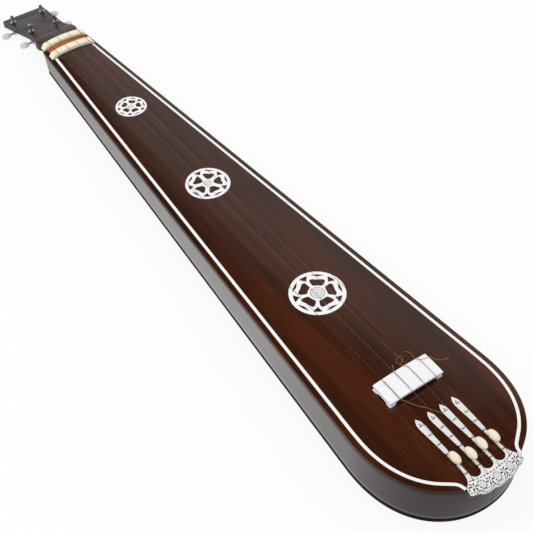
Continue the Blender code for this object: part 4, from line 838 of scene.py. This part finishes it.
plateSettings = {
    "thick": 1 * mm, "lift": 0.45 * mm, "width": 77.5 * mm, "root": 11 * mm, "flare": 21 * mm, "notch": 8 * mm,
    "bend": 6.5 * mm, "lobes": 3, "lobeWidth": 18.4 * mm, "lobeDepth": 4.5 * mm, "endLobe": 0.8 * mm, "finger": 93.5 * mm,
    "fingerWidth": 8.6 * mm, "spacing": 17.6 * mm, "holeRadius": 0.9 * mm, "holeFromEdge": 7.5 * mm,
    # places from a finger's tip in shares of its length, and half widths in shares of the widest
    "fingerShape": ((0.76, 0.42), (0.68, 0.43), (0.57, 0.55), (0.4, 0.74), (0.22, 0.94), (0.13, 1), (0.08, 0.88),
                    (0.035, 0.5), (0, 0)),
}


def platePlace(x, y, height):
    edge = tailEdge(x)
    past = edge - y
    if past <= 0:
        return (x, y, boardZ(x, y) + height)
    turn = plateSettings["bend"]
    reach = turn + height
    angle = min(past / turn, math.pi / 2)
    drop = max(0.0, past - turn * math.pi / 2)
    return (x, edge - reach * math.sin(angle), rimZ(edge) - turn + reach * math.cos(angle) - drop)


def plateOutline(settings):
    root = tailY + settings["root"]
    tip = root + settings["finger"]
    neck = settings["fingerShape"][0][1] * settings["fingerWidth"] / 2
    corner = -settings["width"] / 2
    low = tailEdge(corner)
    corners = []
    for i in range(12):
        share = i / 12
        rest = 1 - share
        corners.append((rest**2 * corner + (1 - rest**2) * (stringX[0] - neck),
                        rest**2 * low + 2 * rest * share * mix(low, root, 0.7) + share**2 * (root + settings["flare"])))
    half = [Vector((wide * settings["fingerWidth"] / 2, tip - share * settings["finger"]))
            for share, wide in settings["fingerShape"]]
    half = smoothRoute(half, 1.6 * mm)
    places = list(corners)
    for i, x in enumerate(stringX):
        places += [(x - p.x, p.y) for p in half] + [(x + p.x, p.y) for p in reversed(half[:-1])]
        if i < 3:
            radius = settings["spacing"] / 2 - neck
            for k in range(16):
                angle = math.pi * (k + 0.5) / 16
                places.append((x + settings["spacing"] / 2 - radius * math.cos(angle),
                               root + radius - radius * math.sin(angle)))
    places += [(-x, y) for x, y in reversed(corners)]
    notches = [settings["lobeWidth"] * (settings["lobes"] / 2 - i) for i in range(settings["lobes"] + 1)]
    notches = [-corner - 0.4 * mm] + notches + [corner + 0.4 * mm]
    for i, (start, end) in enumerate(zip(notches, notches[1:])):
        depth = settings["endLobe"] if i in (0, len(notches) - 2) else settings["lobeDepth"]
        for k in range(14):
            x = mix(start, end, (k + 0.5) / 14)
            places.append((x, tailEdge(x) - settings["notch"] - depth * math.sin(math.pi * (k + 0.5) / 14) ** 0.7))
    return places


def makeTailPlate(settings):
    outline = plateOutline(settings)
    holes = []
    for x in stringX:
        y = tailEdge(x) + settings["holeFromEdge"]
        ring = [2 * math.pi * k / 16 for k in range(16)]
        holes.append([(x + settings["holeRadius"] * math.cos(a), y + settings["holeRadius"] * math.sin(a)) for a in ring])
    extra = []
    for i in range(39):
        x = (i - 19) * 1.97 * mm
        for k in range(12):
            spot = (x, tailEdge(x) + (2.2 - k * 1.02) * mm)
            if inside(spot, outline):
                extra.append(spot)
    top = settings["lift"] + settings["thick"]
    obj = sheetPiece("tailPlateSheet", outline, holes, extra, lambda x, y: platePlace(x, y, top),
                     lambda x, y: (x / mm, (tailEdge(x) - y) / mm))
    faceUp(obj)
    thicken(obj, settings["thick"])
    roundEdges(obj, 0.25 * mm, 2, 60, False)
    applyAll(obj)
    smooth(obj, 40)
    finishPiece(obj, silver, ["tail_plate"])


makeTailPlate(plateSettings)


def bridgeSection(y, share):
    # the bridge's outline across at one place along it, share from -1 at one long edge to 1 at the other
    half = bridgeSettings["length"] / 2
    foot = half - bridgeSettings["foot"]
    open = 1 - bridgeSettings["toe"] / (bridgeSettings["width"] / 2)
    arch = bridgeSettings["toeArch"] * max(0.0, 1 - (share / open) ** 2) ** 0.5
    base = boardZ(half, y) + bridgeSettings["gap"] + arch
    top = bridgeTop(half, y)
    under = bridgeTop(0, y) - bridgeSettings["plate"]
    right = [(half * i / 14, bridgeTop(half * i / 14, y)) for i in range(14)]
    right += [(half - 0.9 * mm, top + 0.02 * mm), (half - 0.3 * mm, top - 0.3 * mm), (half, top - 0.9 * mm),
              (half, top - 2 * mm), (half - 0.5 * mm, top - 2.6 * mm), (half - 1.6 * mm, top - 3 * mm),
              (half - 2.2 * mm, top - 3.8 * mm), (half - 2 * mm, mix(top - 3.8 * mm, base, 0.45)),
              (half - 1.2 * mm, mix(top - 3.8 * mm, base, 0.72)), (half - 0.5 * mm, base + 0.9 * mm),
              (half - 0.4 * mm, base + 0.4 * mm), (half - 0.7 * mm, base)]
    right += [(foot + 0.5 * mm, base), (foot, base + 0.5 * mm), (foot - 0.2 * mm, mix(base, under, 0.6)),
              (foot - 0.9 * mm, mix(base, under, 0.85)), (foot - 2.2 * mm, under - 0.25 * mm), (foot - 4 * mm, under)]
    return right + [(0, under)] + [(-x, z) for x, z in reversed(right[1:])]


def makeBridge():
    stations = [-1, -0.97, -0.9, -0.8, -0.7, -0.62, -0.57, -0.5, -0.4, -0.25, -0.1, 0]
    stations += [-s for s in reversed(stations[:-1])]
    loops = []
    for share in stations:
        y = bridgeY + share * bridgeSettings["width"] / 2
        loops.append([(x, y, z) for x, z in bridgeSection(y, share)])
    obj = loftPiece("whiteBridge", loops)
    roundEdges(obj, 0.45 * mm, 3, 60)
    applyAll(obj)
    smooth(obj, 40)
    finishPiece(obj, bridgeWhite, ["bridge"])


makeBridge()
print("bridge and tail plate made")

# pieces that keep the solids' shapes, with rounded edges
for node in ("nut", "string_guide"):
    dressed(node, ivory, bevel=1.1 * mm, segments=3, angle=25)
dressed("spacer_strip", stripWood, bevel=0.3 * mm)
dressed("head_plate", darkHead, bevel=0.9 * mm, segments=3)
dressed("head_collar", collarWood, bevel=0.8 * mm, segments=3, angle=40)
dressed("neck_block", collarWood, dissolve=1)
for node in ("tail_block", "lining_left", "lining_right", "brace_upper", "brace_middle", "brace_lower", "back_brace"):
    dressed(node, bareWood, bevel=0.4 * mm, angle=60)
for number in (1, 2, 3, 4):
    dressed(f"bead_{number}", beadIvory, dissolve=0, smoothAngle=50, subdivide=2)
    dressed(f"string_{number}", bronze if number in (1, 4) else steel, dissolve=0, smoothAngle=60)
for place in ("near", "far"):
    for side in ("left", "right"):
        for kind in ("housing", "post", "gear", "bushing"):
            dressed(f"{kind}_{place}_{side}", chrome, bevel=0.25 * mm, angle=50)
        dressed(f"worm_shaft_{place}_{side}", chrome, dissolve=0)
        dressed(f"button_{place}_{side}", pearl, dissolve=0, smoothAngle=60, subdivide=1)
print("pieces dressed")

stageSettings = {
    "size": 6.0, "light": 0.9, "backdrop": 1.0, "horizon": 0.6, "ceiling": 0.06, "panel": 0.62,
    "keyPower": 9.0, "keySize": 1.4, "keyPlace": (-0.7, 0.4, 1.9), "floorWhite": 0.88,
    # painted shade in the polish: glossy rays see the floor glow, dim by the tail's edge as if in the box's shadow;
    # metres past the tail's edge, and how bright
    "floorPaintedShade": ((-0.5, 0.03), (-0.2, 0.08), (-0.04, 0.26), (0.14, 0.6), (0.34, 0.86), (0.6, 0.8), (1.0, 0.64)),
}


def makeFloor(settings):
    # a pale sheet under the tail's lower edge and the machine heads' housings
    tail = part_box("back_plate")[0]
    low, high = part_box("housing_far_left")
    slope = low[2] / (high[1] - tail[1])
    deselect()
    bpy.ops.mesh.primitive_plane_add(size=settings["size"], location=(0, tail[1], -0.4 * mm))
    floor = bpy.context.object
    floor.name = "floor"
    floor.rotation_euler = (math.atan(slope), 0, 0)
    made, tree, shader = newMaterial("paleStudioFloor")
    shader.inputs["Base Color"].default_value = linear("#f2f2f2")
    shader.inputs["Roughness"].default_value = 0.9
    shader.inputs["Specular IOR Level"].default_value = 0.0
    path = addNode(tree, "ShaderNodeLightPath")
    seen = addNode(tree, "ShaderNodeMath", {"operation": "MAXIMUM"},
                   {0: path.outputs["Is Camera Ray"], 1: path.outputs["Is Transmission Ray"]})
    share = addNode(tree, "ShaderNodeMath", {"operation": "MULTIPLY", 1: settings["floorWhite"]}, {0: seen.outputs[0]})
    white = addNode(tree, "ShaderNodeEmission", {"Color": (1, 1, 1, 1), "Strength": 1.0})
    shown = addNode(tree, "ShaderNodeMixShader", links={0: share.outputs[0], 1: shader.outputs[0], 2: white.outputs[0]})
    # painted shade for reflections: glossy rays see the floor as an emission graded along it, dark by the tail, in
    # place of the floor's real shade
    split = addNode(tree, "ShaderNodeSeparateXYZ", links={0: objectPlace(tree)})
    first, last = settings["floorPaintedShade"][0][0], settings["floorPaintedShade"][-1][0]
    along = addNode(tree, "ShaderNodeMapRange", {"From Min": first, "From Max": last}, {"Value": split.outputs["Y"]})
    level = ramp(tree, along.outputs[0], [((y - first) / (last - first), grey) for y, grey in settings["floorPaintedShade"]])
    mirrored = addNode(tree, "ShaderNodeEmission", {"Color": (1, 0.97, 0.98, 1)}, {"Strength": level})
    both = addNode(tree, "ShaderNodeMixShader",
                   links={0: path.outputs["Is Glossy Ray"], 1: shown.outputs[0], 2: mirrored.outputs[0]})
    tree.links.new(both.outputs[0], tree.nodes["Material Output"].inputs["Surface"])
    floor.data.materials.append(made)


def makeWorld(settings):
    # a plain studio: even light, a pale backdrop, a dim ceiling and one pale panel up to the right for the polish to show
    world = bpy.data.worlds.new("studio")
    bpy.context.scene.world = world
    world.use_nodes = True
    tree = world.node_tree
    tree.nodes.clear()
    path = addNode(tree, "ShaderNodeLightPath")
    where = addNode(tree, "ShaderNodeTexCoord")
    split = addNode(tree, "ShaderNodeSeparateXYZ", links={0: where.outputs["Generated"]})
    horizon = addNode(tree, "ShaderNodeMapRange", {
        "interpolation_type": "SMOOTHSTEP", "From Min": 0.22, "From Max": 0.42,
        "To Min": settings["horizon"], "To Max": settings["ceiling"]}, {"Value": split.outputs["Z"]})
    across = addNode(tree, "ShaderNodeMath", {"operation": "ADD"}, {0: split.outputs["X"], 1: split.outputs["Y"]})
    panel = addNode(tree, "ShaderNodeMapRange", {
        "interpolation_type": "SMOOTHSTEP", "From Min": 0.84, "From Max": 1.0,
        "To Min": 0.0, "To Max": settings["panel"]}, {"Value": across.outputs[0]})
    level = addNode(tree, "ShaderNodeMath", {"operation": "MAXIMUM"}, {0: horizon.outputs[0], 1: panel.outputs[0]})
    mirrored = addNode(tree, "ShaderNodeBackground", {"Color": (1, 1, 1, 1)}, {"Strength": level.outputs[0]})
    light = addNode(tree, "ShaderNodeBackground", {"Color": (1, 1, 1, 1), "Strength": settings["light"]})
    backdrop = addNode(tree, "ShaderNodeBackground", {"Color": (1, 1, 1, 1), "Strength": settings["backdrop"]})
    seen = addNode(tree, "ShaderNodeMath", {"operation": "MAXIMUM"},
                   {0: path.outputs["Is Camera Ray"], 1: path.outputs["Is Transmission Ray"]})
    first = addNode(tree, "ShaderNodeMixShader", links={0: seen.outputs[0], 1: light.outputs[0], 2: backdrop.outputs[0]})
    both = addNode(tree, "ShaderNodeMixShader",
                   links={0: path.outputs["Is Glossy Ray"], 1: first.outputs[0], 2: mirrored.outputs[0]})
    addNode(tree, "ShaderNodeOutputWorld", links={"Surface": both.outputs[0]})


def makeKeyLight(settings):
    lamp = bpy.data.lights.new("softbox", "AREA")
    lamp.energy = settings["keyPower"]
    lamp.size = settings["keySize"]
    obj = bpy.data.objects.new("softbox", lamp)
    obj.location = settings["keyPlace"]
    obj.rotation_euler = (-Vector(settings["keyPlace"])).to_track_quat("-Z", "Y").to_euler()
    obj.visible_glossy = False
    bpy.context.scene.collection.objects.link(obj)


makeFloor(stageSettings)
makeWorld(stageSettings)
makeKeyLight(stageSettings)
print("stage made")
